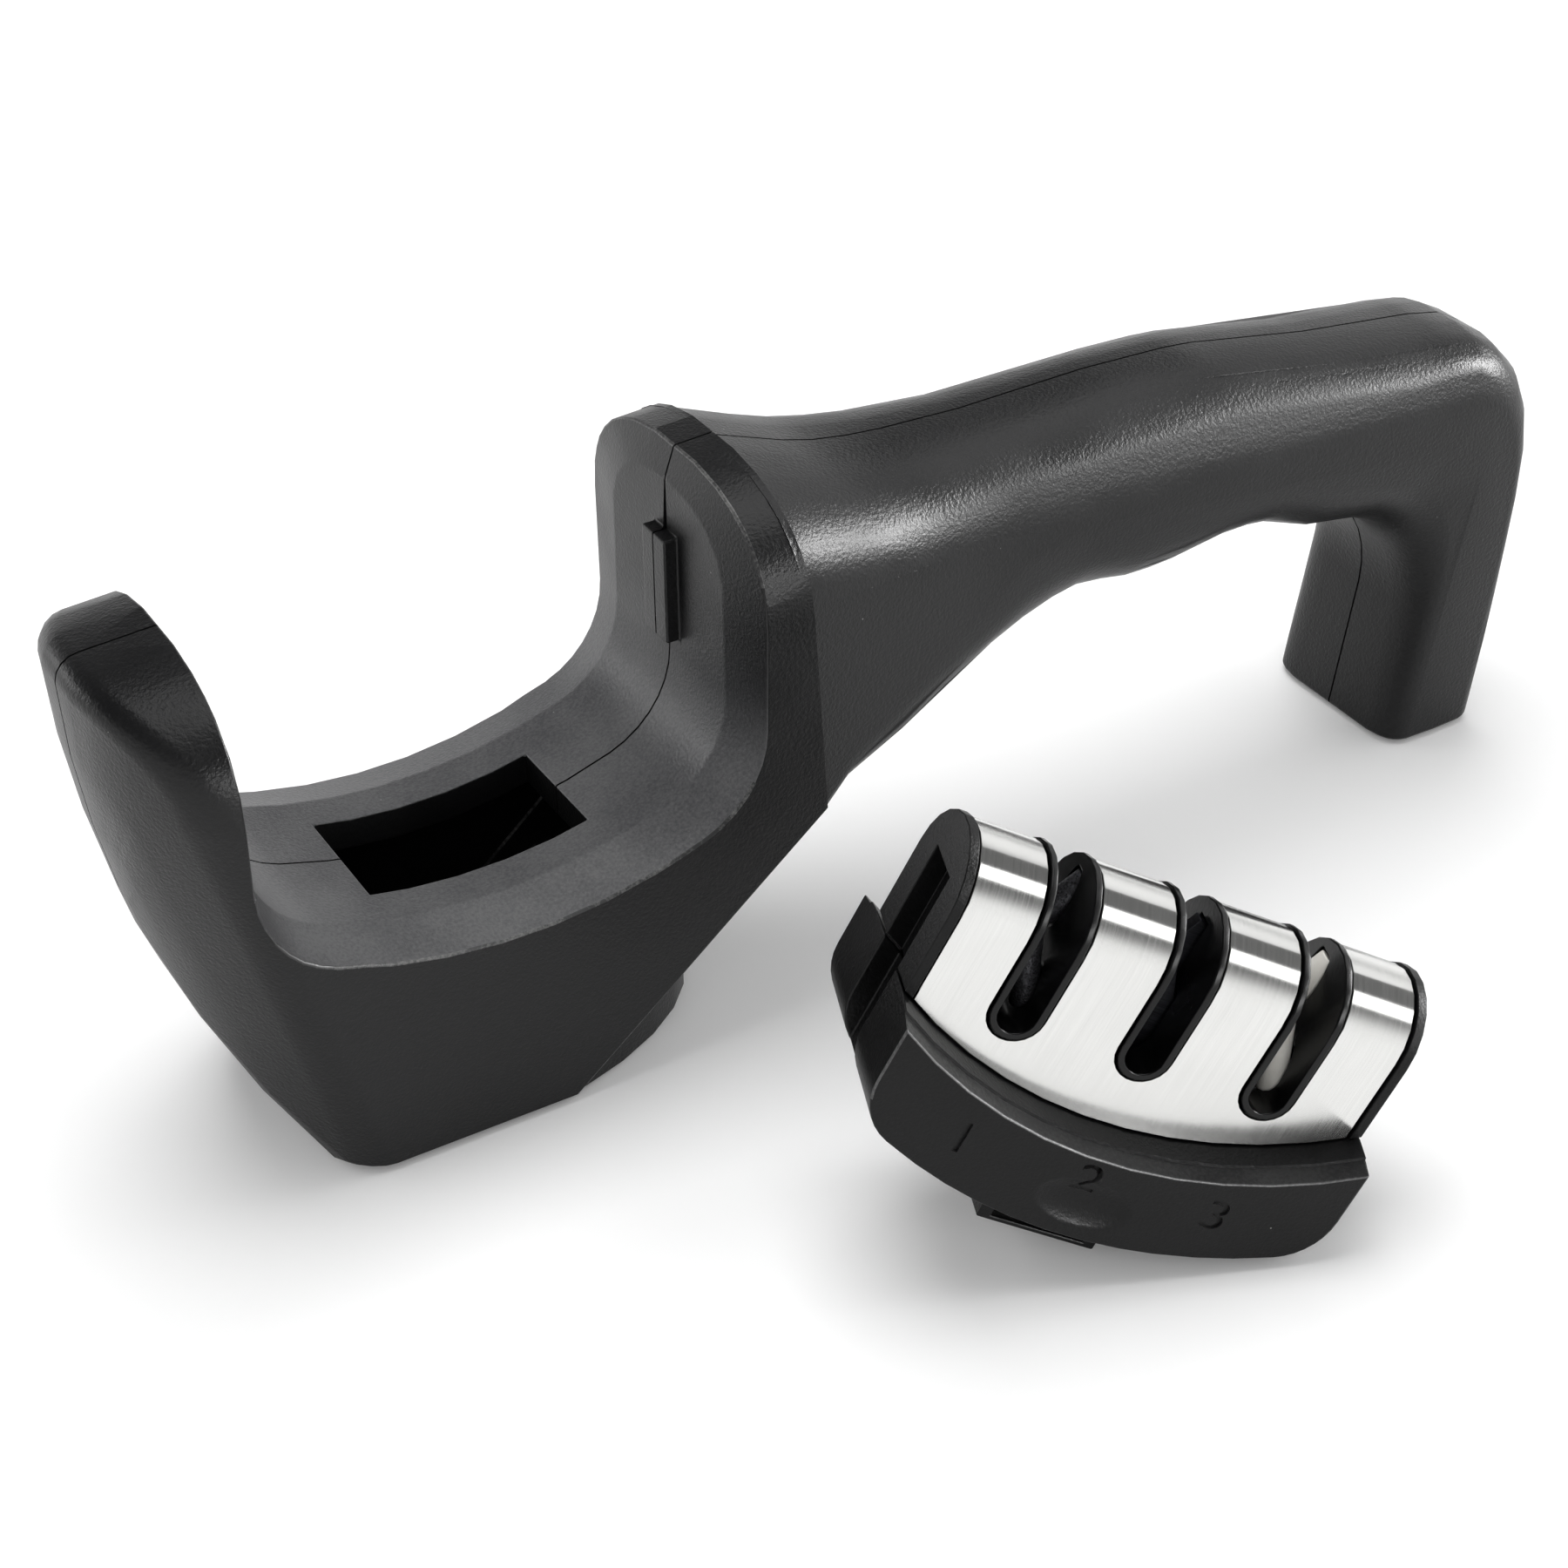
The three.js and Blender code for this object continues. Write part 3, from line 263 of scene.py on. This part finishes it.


# Rubbed ABS: edges that hands and the head polish, so the grain is worn to broken pale flecks; on the rims
# these pale flecks are also a painted highlight, the light that the rounded edges catch
def rubbed_and_sheen_abs(name, dark, pale, shine):
    material, tree, shader, place = new_material(name)
    flecks = add_node(tree, "ShaderNodeTexNoise", {
        "Vector": place, "Scale": per_metre(WORN_FLECK), "Detail": 3.0, "Roughness": 0.7}).outputs["Fac"]
    stretches = add_node(tree, "ShaderNodeTexNoise", {
        "Vector": place, "Scale": per_metre(WORN_STRETCH), "Detail": 2.0}).outputs["Fac"]
    both = add_node(tree, "ShaderNodeMath", {0: flecks, 1: stretches}, operation="ADD").outputs[0]
    worn_and_sheen = add_node(tree, "ShaderNodeMapRange", {
        "Value": both, "From Min": 0.9, "From Max": 1.25}).outputs["Result"]
    colour = add_node(tree, "ShaderNodeMix", {
        "Factor": worn_and_sheen, "A": srgb(dark), "B": srgb(pale)}, data_type="RGBA").outputs["Result"]
    tree.links.new(colour, shader.inputs["Base Color"])
    polish = add_node(tree, "ShaderNodeMapRange", {
        "Value": worn_and_sheen, "To Min": 0.45, "To Max": 0.32}).outputs["Result"]
    tree.links.new(polish, shader.inputs["Roughness"])
    bump = add_node(tree, "ShaderNodeBump", {
        "Height": flecks, "Strength": 1.0, "Distance": WORN_FLECK_HEIGHT * MM}).outputs["Normal"]
    tree.links.new(bump, shader.inputs["Normal"])
    shader.inputs["Specular IOR Level"].default_value = shine
    return material


# Brushed stainless sheet: hairlines up the face and over the bend draw each reflection out into a streak
def brushed_stainless():
    material, tree, shader, place = new_material("brushed_stainless")
    hairs = add_node(tree, "ShaderNodeMapping", {
        "Vector": place, "Location": head_origin, "Rotation": head_turn.to_euler(),
        "Scale": HAIRLINE * MM}, vector_type="TEXTURE").outputs["Vector"]
    hairline = add_node(tree, "ShaderNodeTexNoise", {
        "Vector": hairs, "Scale": 1.0, "Detail": 3.0, "Roughness": 0.65}).outputs["Fac"]
    cloud = add_node(tree, "ShaderNodeTexNoise", {
        "Vector": place, "Scale": per_metre(ROLLED_PATCH), "Detail": 3.0}).outputs["Fac"]
    mixed = add_node(tree, "ShaderNodeMath", {
        0: cloud, 1: 0.4, 2: hairline}, operation="MULTIPLY_ADD").outputs[0]
    bright = add_node(tree, "ShaderNodeMapRange", {
        "Value": mixed, "From Min": 0.4, "From Max": 1.0}).outputs["Result"]
    colour = add_node(tree, "ShaderNodeMix", {
        "Factor": bright, "A": srgb("#d4d4d2"), "B": srgb("#e4e4e2")}, data_type="RGBA").outputs["Result"]
    tree.links.new(colour, shader.inputs["Base Color"])
    rough = add_node(tree, "ShaderNodeMapRange", {
        "Value": hairline, "From Min": 0.3, "From Max": 0.7,
        "To Min": 0.16, "To Max": 0.23}).outputs["Result"]
    tree.links.new(rough, shader.inputs["Roughness"])
    across = add_node(tree, "ShaderNodeVectorTransform", {"Vector": head_turn.col[0]},
                      vector_type="VECTOR", convert_from="OBJECT", convert_to="WORLD").outputs["Vector"]
    tree.links.new(across, shader.inputs["Tangent"])
    shader.inputs["Anisotropic"].default_value = 0.9
    bump = add_node(tree, "ShaderNodeBump", {
        "Height": hairline, "Strength": 1.0, "Distance": HAIRLINE_HEIGHT * MM}).outputs["Normal"]
    tree.links.new(bump, shader.inputs["Normal"])
    shader.inputs["Metallic"].default_value = 1.0
    return material


# Diamond coat: packed grit on a steel rod, each grain a facet that is dull or sparkles
def diamond_coat():
    material, tree, shader, place = new_material("diamond_coat")
    grit = add_node(tree, "ShaderNodeTexVoronoi", {"Vector": place, "Scale": per_metre(DIAMOND_GRIT)})
    colour = add_node(tree, "ShaderNodeMix", {
        "Factor": grit.outputs["Color"], "A": srgb("#161617"), "B": srgb("#5b5b5f")}, data_type="RGBA")
    tree.links.new(colour.outputs["Result"], shader.inputs["Base Color"])
    rough = add_node(tree, "ShaderNodeMapRange", {
        "Value": grit.outputs["Color"], "To Min": 0.75, "To Max": 0.35}).outputs["Result"]
    tree.links.new(rough, shader.inputs["Roughness"])
    bump = add_node(tree, "ShaderNodeBump", {
        "Height": grit.outputs["Distance"], "Strength": 0.8,
        "Distance": DIAMOND_GRIT_HEIGHT * MM}).outputs["Normal"]
    tree.links.new(bump, shader.inputs["Normal"])
    shader.inputs["Metallic"].default_value = 0.8
    return material


# Ground carbide: dark dense metal with the parallel marks of the grinding wheel
def ground_carbide():
    material, tree, shader, place = new_material("ground_carbide")
    marks = add_node(tree, "ShaderNodeMapping", {
        "Vector": place, "Location": head_origin, "Rotation": head_turn.to_euler(),
        "Scale": GRINDING_MARK * MM}, vector_type="TEXTURE").outputs["Vector"]
    line = add_node(tree, "ShaderNodeTexNoise", {"Vector": marks, "Scale": 1.0, "Detail": 2.0}).outputs["Fac"]
    colour = add_node(tree, "ShaderNodeMix", {
        "Factor": line, "A": srgb("#242427"), "B": srgb("#55565b")}, data_type="RGBA").outputs["Result"]
    tree.links.new(colour, shader.inputs["Base Color"])
    rough = add_node(tree, "ShaderNodeMapRange", {
        "Value": line, "To Min": 0.25, "To Max": 0.5}).outputs["Result"]
    tree.links.new(rough, shader.inputs["Roughness"])
    bump = add_node(tree, "ShaderNodeBump", {
        "Height": line, "Strength": 0.7, "Distance": GRINDING_MARK_HEIGHT * MM}).outputs["Normal"]
    tree.links.new(bump, shader.inputs["Normal"])
    shader.inputs["Metallic"].default_value = 1.0
    return material


# Fired ceramic: close white body with a faint warm mottle from the kiln and fine pores
def fired_ceramic():
    material, tree, shader, place = new_material("fired_ceramic")
    mottle = add_node(tree, "ShaderNodeTexNoise", {
        "Vector": place, "Scale": per_metre(KILN_MOTTLE), "Detail": 4.0}).outputs["Fac"]
    colour = add_node(tree, "ShaderNodeMix", {
        "Factor": mottle, "A": srgb("#cfccc4"), "B": srgb("#e2e0da")}, data_type="RGBA").outputs["Result"]
    tree.links.new(colour, shader.inputs["Base Color"])
    pores = add_node(tree, "ShaderNodeTexVoronoi", {
        "Vector": place, "Scale": per_metre(CERAMIC_PORE)}).outputs["Distance"]
    rough = add_node(tree, "ShaderNodeMapRange", {
        "Value": pores, "To Min": 0.7, "To Max": 0.5}).outputs["Result"]
    tree.links.new(rough, shader.inputs["Roughness"])
    bump = add_node(tree, "ShaderNodeBump", {
        "Height": pores, "Strength": 0.6, "Distance": CERAMIC_PORE_HEIGHT * MM}).outputs["Normal"]
    tree.links.new(bump, shader.inputs["Normal"])
    return material


# Soft rubber: dead matt with a stippled face and grey bloom where it is handled
def soft_rubber():
    material, tree, shader, place = new_material("soft_rubber")
    stipple = add_node(tree, "ShaderNodeTexVoronoi", {
        "Vector": place, "Scale": per_metre(RUBBER_STIPPLE)}).outputs["Distance"]
    bloom = add_node(tree, "ShaderNodeTexNoise", {
        "Vector": place, "Scale": per_metre(RUBBER_BLOOM), "Detail": 3.0}).outputs["Fac"]
    colour = add_node(tree, "ShaderNodeMix", {
        "Factor": bloom, "A": srgb("#0d0d0d"), "B": srgb("#1f1f1e")}, data_type="RGBA").outputs["Result"]
    tree.links.new(colour, shader.inputs["Base Color"])
    rough = add_node(tree, "ShaderNodeMapRange", {
        "Value": bloom, "To Min": 0.72, "To Max": 0.92}).outputs["Result"]
    tree.links.new(rough, shader.inputs["Roughness"])
    bump = add_node(tree, "ShaderNodeBump", {
        "Height": stipple, "Strength": 0.6, "Distance": RUBBER_STIPPLE_HEIGHT * MM}).outputs["Normal"]
    tree.links.new(bump, shader.inputs["Normal"])
    return material


# Zinc plate: small pale crystals over the screw steel, some dulled
def zinc_plate():
    material, tree, shader, place = new_material("zinc_plate")
    crystals = add_node(tree, "ShaderNodeTexVoronoi", {
        "Vector": place, "Scale": per_metre(ZINC_CRYSTAL)}).outputs["Color"]
    colour = add_node(tree, "ShaderNodeMix", {
        "Factor": crystals, "A": srgb("#8f9092"), "B": srgb("#c3c4c6")}, data_type="RGBA").outputs["Result"]
    tree.links.new(colour, shader.inputs["Base Color"])
    rough = add_node(tree, "ShaderNodeMapRange", {
        "Value": crystals, "To Min": 0.3, "To Max": 0.5}).outputs["Result"]
    tree.links.new(rough, shader.inputs["Roughness"])
    shader.inputs["Metallic"].default_value = 1.0
    return material


# Choosing edges by their two ends, in millimetres

def anywhere(a, b):
    return True


# The seam and the small step behind the collar stay crisp
def on_body_edge(a, b):
    on_seam = all(abs(p.y) < BY_EDGE for p in (a, b))
    on_step = all(COLLAR_BACK - STEP_BEFORE < p.x < COLLAR_BACK + STEP_BEHIND for p in (a, b))
    return not (on_seam or on_step)


def in_head(point):
    return head_place.inverted() @ (point * MM) / MM


# So does the step of the base's shoulder
def on_base_edge(a, b):
    step = BASE_HALF_WIDTH - BASE_LEDGE
    return not all(abs(abs(in_head(p).y) - step) < BY_EDGE for p in (a, b))


def on_cradle_line(a, b):
    beside = all(abs(abs(p.y) - SEAT_HALF_WIDTH) < ON_LINE for p in (a, b))
    facing = all(abs(abs(p.x) - CRADLE_HALF) < ON_LINE for p in (a, b))
    return beside or facing


# Edges that the head and the hand rub, and that get a painted highlight: the cradle's rims, the top of the
# collar and the rim of the base

def on_rubbed_and_lit_rim(point):
    on_cradle = abs(point.x) < CRADLE_HALF and abs(point.y) > SEAT_HALF_WIDTH
    on_collar = point.z > COLLAR_RUBBED_AND_LIT and abs(point.x - CRADLE_HALF) < COLLAR_BAND
    return on_cradle or on_collar


def on_base_rim(point):
    place = in_head(point)
    return abs(place.y) > BASE_HALF_WIDTH - BASE_BAND_IN and place.z > BASE_RIM - BASE_BAND_DOWN


# Dressed copies of the CAD pieces: merged, with rounded edges that may be worn and painted with a highlight,
# and smooth curves

def edges_where(piece, angle, wanted):
    def sharp_ones():
        bpy.ops.mesh.select_mode(type="EDGE")
        bpy.ops.mesh.select_all(action="DESELECT")
        bpy.ops.mesh.edges_select_sharp(sharpness=math.radians(angle))

    in_edit_mode(piece, sharp_ones)
    points = piece.data.vertices
    return [e.index for e in piece.data.edges if e.select
            and wanted(*(points[v].co / MM for v in e.vertices))]


def round_edges(piece, edges, width, material=-1):
    weights = piece.data.attributes.new("bevel_weight_edge", "FLOAT", "EDGE")
    for index in edges:
        weights.data[index].value = 1.0
    finish_with(piece, "BEVEL", width=width * MM, segments=EDGE_STEPS, limit_method="WEIGHT",
                use_clamp_overlap=False, material=material)
    spent = piece.data.attributes.get("bevel_weight_edge")
    if spent:
        piece.data.attributes.remove(spent)


def dressed(node, materials, edge, crease=CREASE, rounded=anywhere, lines=None, worn_and_sheen=None, carve=None):
    source = frame["nodes"][node]
    piece = bpy.data.objects.new(node + "_skin", source.data.copy())
    bpy.context.scene.collection.objects.link(piece)
    piece.data.materials.clear()
    for material in materials:
        piece.data.materials.append(material)

    def merge():
        bpy.ops.mesh.select_all(action="SELECT")
        bpy.ops.mesh.remove_doubles(threshold=SLIVER * MM)
        bpy.ops.mesh.dissolve_limited(angle_limit=math.radians(FLAT))

    only(piece)
    bpy.ops.mesh.customdata_custom_splitnormals_clear()
    in_edit_mode(piece, merge)
    if lines:
        round_edges(piece, edges_where(piece, FAINT_CREASE, lines), edge)
    round_edges(piece, edges_where(piece, crease, rounded), edge, len(materials) - 1)
    # Rounded edges off the rubbed rims go back to the plain ABS; those on them keep the pale ABS, worn and
    # painted with a highlight
    if worn_and_sheen:
        for face in piece.data.polygons:
            if face.material_index == len(materials) - 1 and not worn_and_sheen(face.center / MM):
                face.material_index = 0
    if carve:
        carve(piece)
    only(piece)
    bpy.ops.object.shade_smooth_by_angle(angle=math.radians(crease), keep_sharp_edges=False)
    finish_with(piece, "WEIGHTED_NORMAL", keep_sharp=True)
    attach(piece, source["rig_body"])
    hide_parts(node)
    return piece


# Slot numbers: figures of the plain built-in font, sunk into the base; their walls take the pale rubbed ABS
# as a painted highlight
def engrave_figures(piece):
    for figure, (along, level, depth) in FIGURES.items():
        bpy.ops.object.select_all(action="DESELECT")
        bpy.ops.object.text_add()
        cutter = bpy.context.active_object
        cutter.data.body = figure
        cutter.data.align_x = "CENTER"
        cutter.data.align_y = "CENTER"
        bpy.ops.object.convert(target="MESH")
        scale = FIGURE_HEIGHT * MM / cutter.dimensions.y
        cutter.data.transform(Matrix.Diagonal((FIGURE_WIDENING * scale, scale, scale, 1)))
        finish_with(cutter, "SOLIDIFY", thickness=2 * depth * MM, offset=0.0)
        for material in piece.data.materials:
            cutter.data.materials.append(material)
        # The figures' floors take the plain ABS and their walls the last, pale material, a painted highlight
        for face in cutter.data.polygons:
            face.material_index = 0 if abs(face.normal.z) > LEVEL else len(piece.data.materials) - 1
        upright = Matrix.Rotation(math.pi / 2, 4, "X")
        spot = Matrix.Translation(Vector((along, -BASE_HALF_WIDTH, level)) * MM)
        cutter.data.transform(head_place @ spot @ upright)
        finish_with(piece, "BOOLEAN", operation="DIFFERENCE", object=cutter, solver="EXACT")
        bpy.data.objects.remove(cutter)


# Rubbed ledge: the strip of the shoulder that fingers push against
def finish_base(piece):
    step = BASE_HALF_WIDTH - BASE_LEDGE
    for face in piece.data.polygons:
        outward = abs(in_head(face.center / MM).y) - step
        upward = face.normal.dot(head_turn.col[2])
        if 0 < outward < BASE_LEDGE and upward > LEVEL:
            face.material_index = 1
    engrave_figures(piece)


# Cradle: its floor, end walls and rims get the pale ABS, a painted light that makes them lighter than the
# sides, as if lit from above
def paint_light_in_cradle(piece):
    for face in piece.data.polygons:
        place = face.center / MM
        inward = Vector((-place.x, 0, CRADLE_MIDDLE - place.z))
        inside = abs(place.x) < CRADLE_HALF + RIM_DEPTH and place.z > CRADLE_LOW
        in_window = abs(place.x) < WINDOW_REACH and face.normal.z < UPRIGHT
        if face.material_index or not inside or in_window or face.normal.dot(inward) < 0:
            continue
        if abs(face.normal.y) < SIDEWAYS:
            face.material_index = 1


# ABS of the body and the head; mould grain is really about 0.1 mm and is drawn coarser, so that it shows
body_abs = moulded_abs("charcoal_abs", "#0d0d0e", "#121213", roughness=0.36, shine=0.27,
                       grain_size=0.5, grain_height=0.085, dust_share=0.12)
# The cradle's ABS is the body's plastic painted paler: a painted light on the surfaces that face into the
# cradle
cradle_painted_light_abs = moulded_abs("painted_light_charcoal_abs", "#3e3e40", "#575758", roughness=0.4, shine=0.34,
                         grain_size=0.42, grain_height=0.065, dust_share=0.22, unlit_above="#101011")
# The rubbed ABS on the rims is partly wear and partly a painted highlight: pale flecks for the light that the
# edges catch
body_worn_and_sheen = rubbed_and_sheen_abs("rubbed_and_highlit_charcoal_abs", "#242425", "#666665", shine=0.45)
head_abs = moulded_abs("black_abs", "#080808", "#0c0c0d", roughness=0.38, shine=0.19,
                       grain_size=0.42, grain_height=0.06, dust_share=0.25)
ledge_abs = rubbed_and_sheen_abs("scuffed_black_abs", "#0d0d0e", "#2a2a2a", shine=0.25)
head_worn_and_sheen = rubbed_and_sheen_abs("rubbed_and_highlit_black_abs", "#1a1a1b", "#4c4c4c", shine=0.6)

# ABS from a polished mould: nearly no grain, so the liners' rims catch crisp glints
liner_abs = moulded_abs("polished_black_abs", "#060606", "#09090a", roughness=0.24, shine=0.26,
                        grain_size=0.6, grain_height=0.01, dust_share=0.1)

steel = brushed_stainless()
grit = diamond_coat()
carbide = ground_carbide()
ceramic = fired_ceramic()
rubber = soft_rubber()
zinc = zinc_plate()

for side in ("near", "far"):
    dressed(f"{side}_shell", [body_abs, cradle_painted_light_abs, body_worn_and_sheen], edge=0.3,
            rounded=on_body_edge, lines=on_cradle_line, worn_and_sheen=on_rubbed_and_lit_rim, carve=paint_light_in_cradle)
dressed("front_pad", [rubber], edge=0.3)
dressed("rear_pad", [rubber], edge=0.3)
base = dressed("head_base", [head_abs, ledge_abs, head_worn_and_sheen], edge=0.25,
               crease=BASE_CREASE, rounded=on_base_edge, worn_and_sheen=on_base_rim, carve=finish_base)
dressed("head_frame", [head_abs], edge=0.15)
cover = dressed("steel_cover", [steel], edge=0.12)
for number in (1, 2, 3):
    dressed(f"slot_liner_{number}", [liner_abs], edge=0.2)
for side in ("near", "far"):
    dressed(f"diamond_rod_{side}", [grit], edge=0.2)
    dressed(f"carbide_blade_{side}", [carbide], edge=0.1)
    dressed(f"ceramic_rod_{side}", [ceramic], edge=0.2)
for end in ("left", "right"):
    dressed(f"base_screw_{end}", [zinc], edge=0.15)


# Floor, light and camera

# Matt white sweep: paper so even that only the soft shadows show on it
def floor():
    bpy.ops.object.select_all(action="DESELECT")
    bpy.ops.mesh.primitive_plane_add(size=FLOOR_SIZE, location=(0, 0, 0))
    piece = bpy.context.active_object
    piece.name = "floor"
    material, tree, shader, place = new_material("white_sweep")
    cloud = add_node(tree, "ShaderNodeTexNoise", {
        "Vector": place, "Scale": per_metre(PAPER_CLOUD), "Detail": 3.0}).outputs["Fac"]
    colour = add_node(tree, "ShaderNodeMix", {
        "Factor": cloud, "A": srgb("#f7f7f7"), "B": srgb("#f9f9f9")}, data_type="RGBA").outputs["Result"]
    tree.links.new(colour, shader.inputs["Base Color"])
    ray = add_node(tree, "ShaderNodeLightPath").outputs
    seen = add_node(tree, "ShaderNodeMath", {
        0: ray["Is Camera Ray"], 1: ray["Is Glossy Ray"]}, operation="ADD").outputs[0]
    distance = add_node(tree, "ShaderNodeVectorMath", {0: place}, operation="LENGTH").outputs["Value"]
    level = add_node(tree, "ShaderNodeMapRange", {
        "Value": distance, "From Min": GLOW_RISES, "From Max": GLOW_FULL,
        "To Min": FLOOR_GLOW}).outputs["Result"]
    glow = add_node(tree, "ShaderNodeMath", {0: seen, 1: level}, operation="MULTIPLY").outputs[0]
    tree.links.new(glow, shader.inputs["Emission Strength"])
    shader.inputs["Emission Color"].default_value = (1, 1, 1, 1)
    shader.inputs["Roughness"].default_value = 1.0
    shader.inputs["Specular IOR Level"].default_value = 0.0
    piece.data.materials.append(material)


# Lamp that faces the object; azimuth is in degrees from +Y towards +X, and size in metres
def soft_box(name, azimuth, elevation, size, brightness, away, fills, shines, lean=0):
    turn = math.radians(azimuth)
    lift = math.radians(elevation)
    outward = Vector((math.sin(turn) * math.cos(lift), math.cos(turn) * math.cos(lift), math.sin(lift)))
    width, height = size
    light = bpy.data.lights.new(name, "AREA")
    light.shape = "RECTANGLE"
    light.size = width
    light.size_y = height
    light.energy = brightness * math.pi * width * height
    lamp = bpy.data.objects.new(name, light)
    bpy.context.scene.collection.objects.link(lamp)
    lamp.visible_diffuse = fills
    lamp.visible_glossy = shines
    lamp.location = AIM + away * outward
    roll = Matrix.Rotation(math.radians(lean), 4, "Z")
    lamp.rotation_euler = (outward.to_track_quat("Z", "Y").to_matrix().to_4x4() @ roll).to_euler()
    return lamp


# Lamp that lights only one piece, or all but it, as flags on stands do in a studio
def flagged(lamp, piece, state):
    flag = bpy.data.collections.new(lamp.name + "_flag")
    flag.objects.link(piece)
    flag.collection_objects[0].light_linking.link_state = state
    lamp.light_linking.receiver_collection = flag


def room():
    world = bpy.data.worlds.new("studio")
    bpy.context.scene.world = world
    world.use_nodes = True
    tree = world.node_tree
    direction = add_node(tree, "ShaderNodeTexCoord").outputs["Generated"]
    height = add_node(tree, "ShaderNodeSeparateXYZ", {"Vector": direction}).outputs["Z"]
    light = add_node(tree, "ShaderNodeMapRange", {
        "Value": height, "From Min": FADE_FROM, "From Max": FADE_TO,
        "To Min": WALL_LIGHT, "To Max": CEILING_LIGHT}, interpolation_type="SMOOTHSTEP").outputs["Result"]
    tree.links.new(light, tree.nodes["Background"].inputs["Strength"])
    tree.nodes["Background"].inputs["Color"].default_value = (1, 1, 1, 1)


# Lamps that only shine draw the highlights, and lamps that only fill light the matt surfaces and the floor
def lamps():
    shining = {"fills": False, "shines": True}
    strip = {"away": STRIP_AWAY, **shining}
    off_the_steel = (
        soft_box("key_strip", azimuth=108, elevation=19, size=(1.1, 0.5), brightness=48, **strip),
        soft_box("grip_strip", azimuth=134, elevation=16, size=(1.1, 0.42), brightness=15, **strip),
        soft_box("front_strip", azimuth=166, elevation=9, size=(1.0, 0.6), brightness=8, **strip),
        soft_box("left_strip", azimuth=-42, elevation=11, size=(1.2, 0.4), brightness=5.5, **strip),
        soft_box("overhead_panel", azimuth=95, elevation=72, size=(2.1, 2.1), brightness=2.3,
                 away=PANEL_AWAY, **shining))
    for lamp in off_the_steel:
        flagged(lamp, cover, "EXCLUDE")
    soft_box("crest_panel", azimuth=68, elevation=28, size=(1.9, 0.9), brightness=1.1, **strip)
    for_the_bend = soft_box("bend_strip", azimuth=139, elevation=31, size=(0.8, 1.8), brightness=2.4,
                            lean=25, **strip)
    flagged(for_the_bend, cover, "INCLUDE")
    for_the_ledge = soft_box("ledge_strip", azimuth=160, elevation=14, size=(1.1, 0.6), brightness=25,
                             **strip)
    flagged(for_the_ledge, base, "INCLUDE")
    filling = {"fills": True, "shines": False}
    soft_box("overhead_fill", azimuth=10, elevation=77, size=(1.9, 1.9), brightness=4.0,
             away=PANEL_AWAY, **filling)
    for azimuth in (30, 120, 210, 300):
        soft_box(f"side_fill_{azimuth}", azimuth, elevation=40, size=(2.2, 1.6), brightness=1.15,
                 away=FILL_AWAY, **filling)


def camera():
    right = Vector((math.cos(CAMERA_TURN), -math.sin(CAMERA_TURN), 0))
    level = Vector((math.sin(CAMERA_TURN), math.cos(CAMERA_TURN), 0))
    ahead = level * math.cos(CAMERA_DROP) - Vector((0, 0, math.sin(CAMERA_DROP)))
    up = right.cross(ahead)
    rolled_right = right * math.cos(CAMERA_ROLL) + up * math.sin(CAMERA_ROLL)
    rolled_up = up * math.cos(CAMERA_ROLL) - right * math.sin(CAMERA_ROLL)
    lens = bpy.data.cameras.new("photograph")
    lens.sensor_width = SENSOR
    lens.sensor_fit = "HORIZONTAL"
    lens.lens = CAMERA_LENS
    lens.clip_start = NEAREST * MM
    eye = bpy.data.objects.new("photograph", lens)
    bpy.context.scene.collection.objects.link(eye)
    turn = Matrix((rolled_right, rolled_up, -ahead)).transposed()
    eye.matrix_world = Matrix.Translation(CAMERA_PLACE) @ turn.to_4x4()
    bpy.context.scene.camera = eye


floor()
room()
lamps()
camera()
bpy.context.scene.view_settings.view_transform = "Standard"
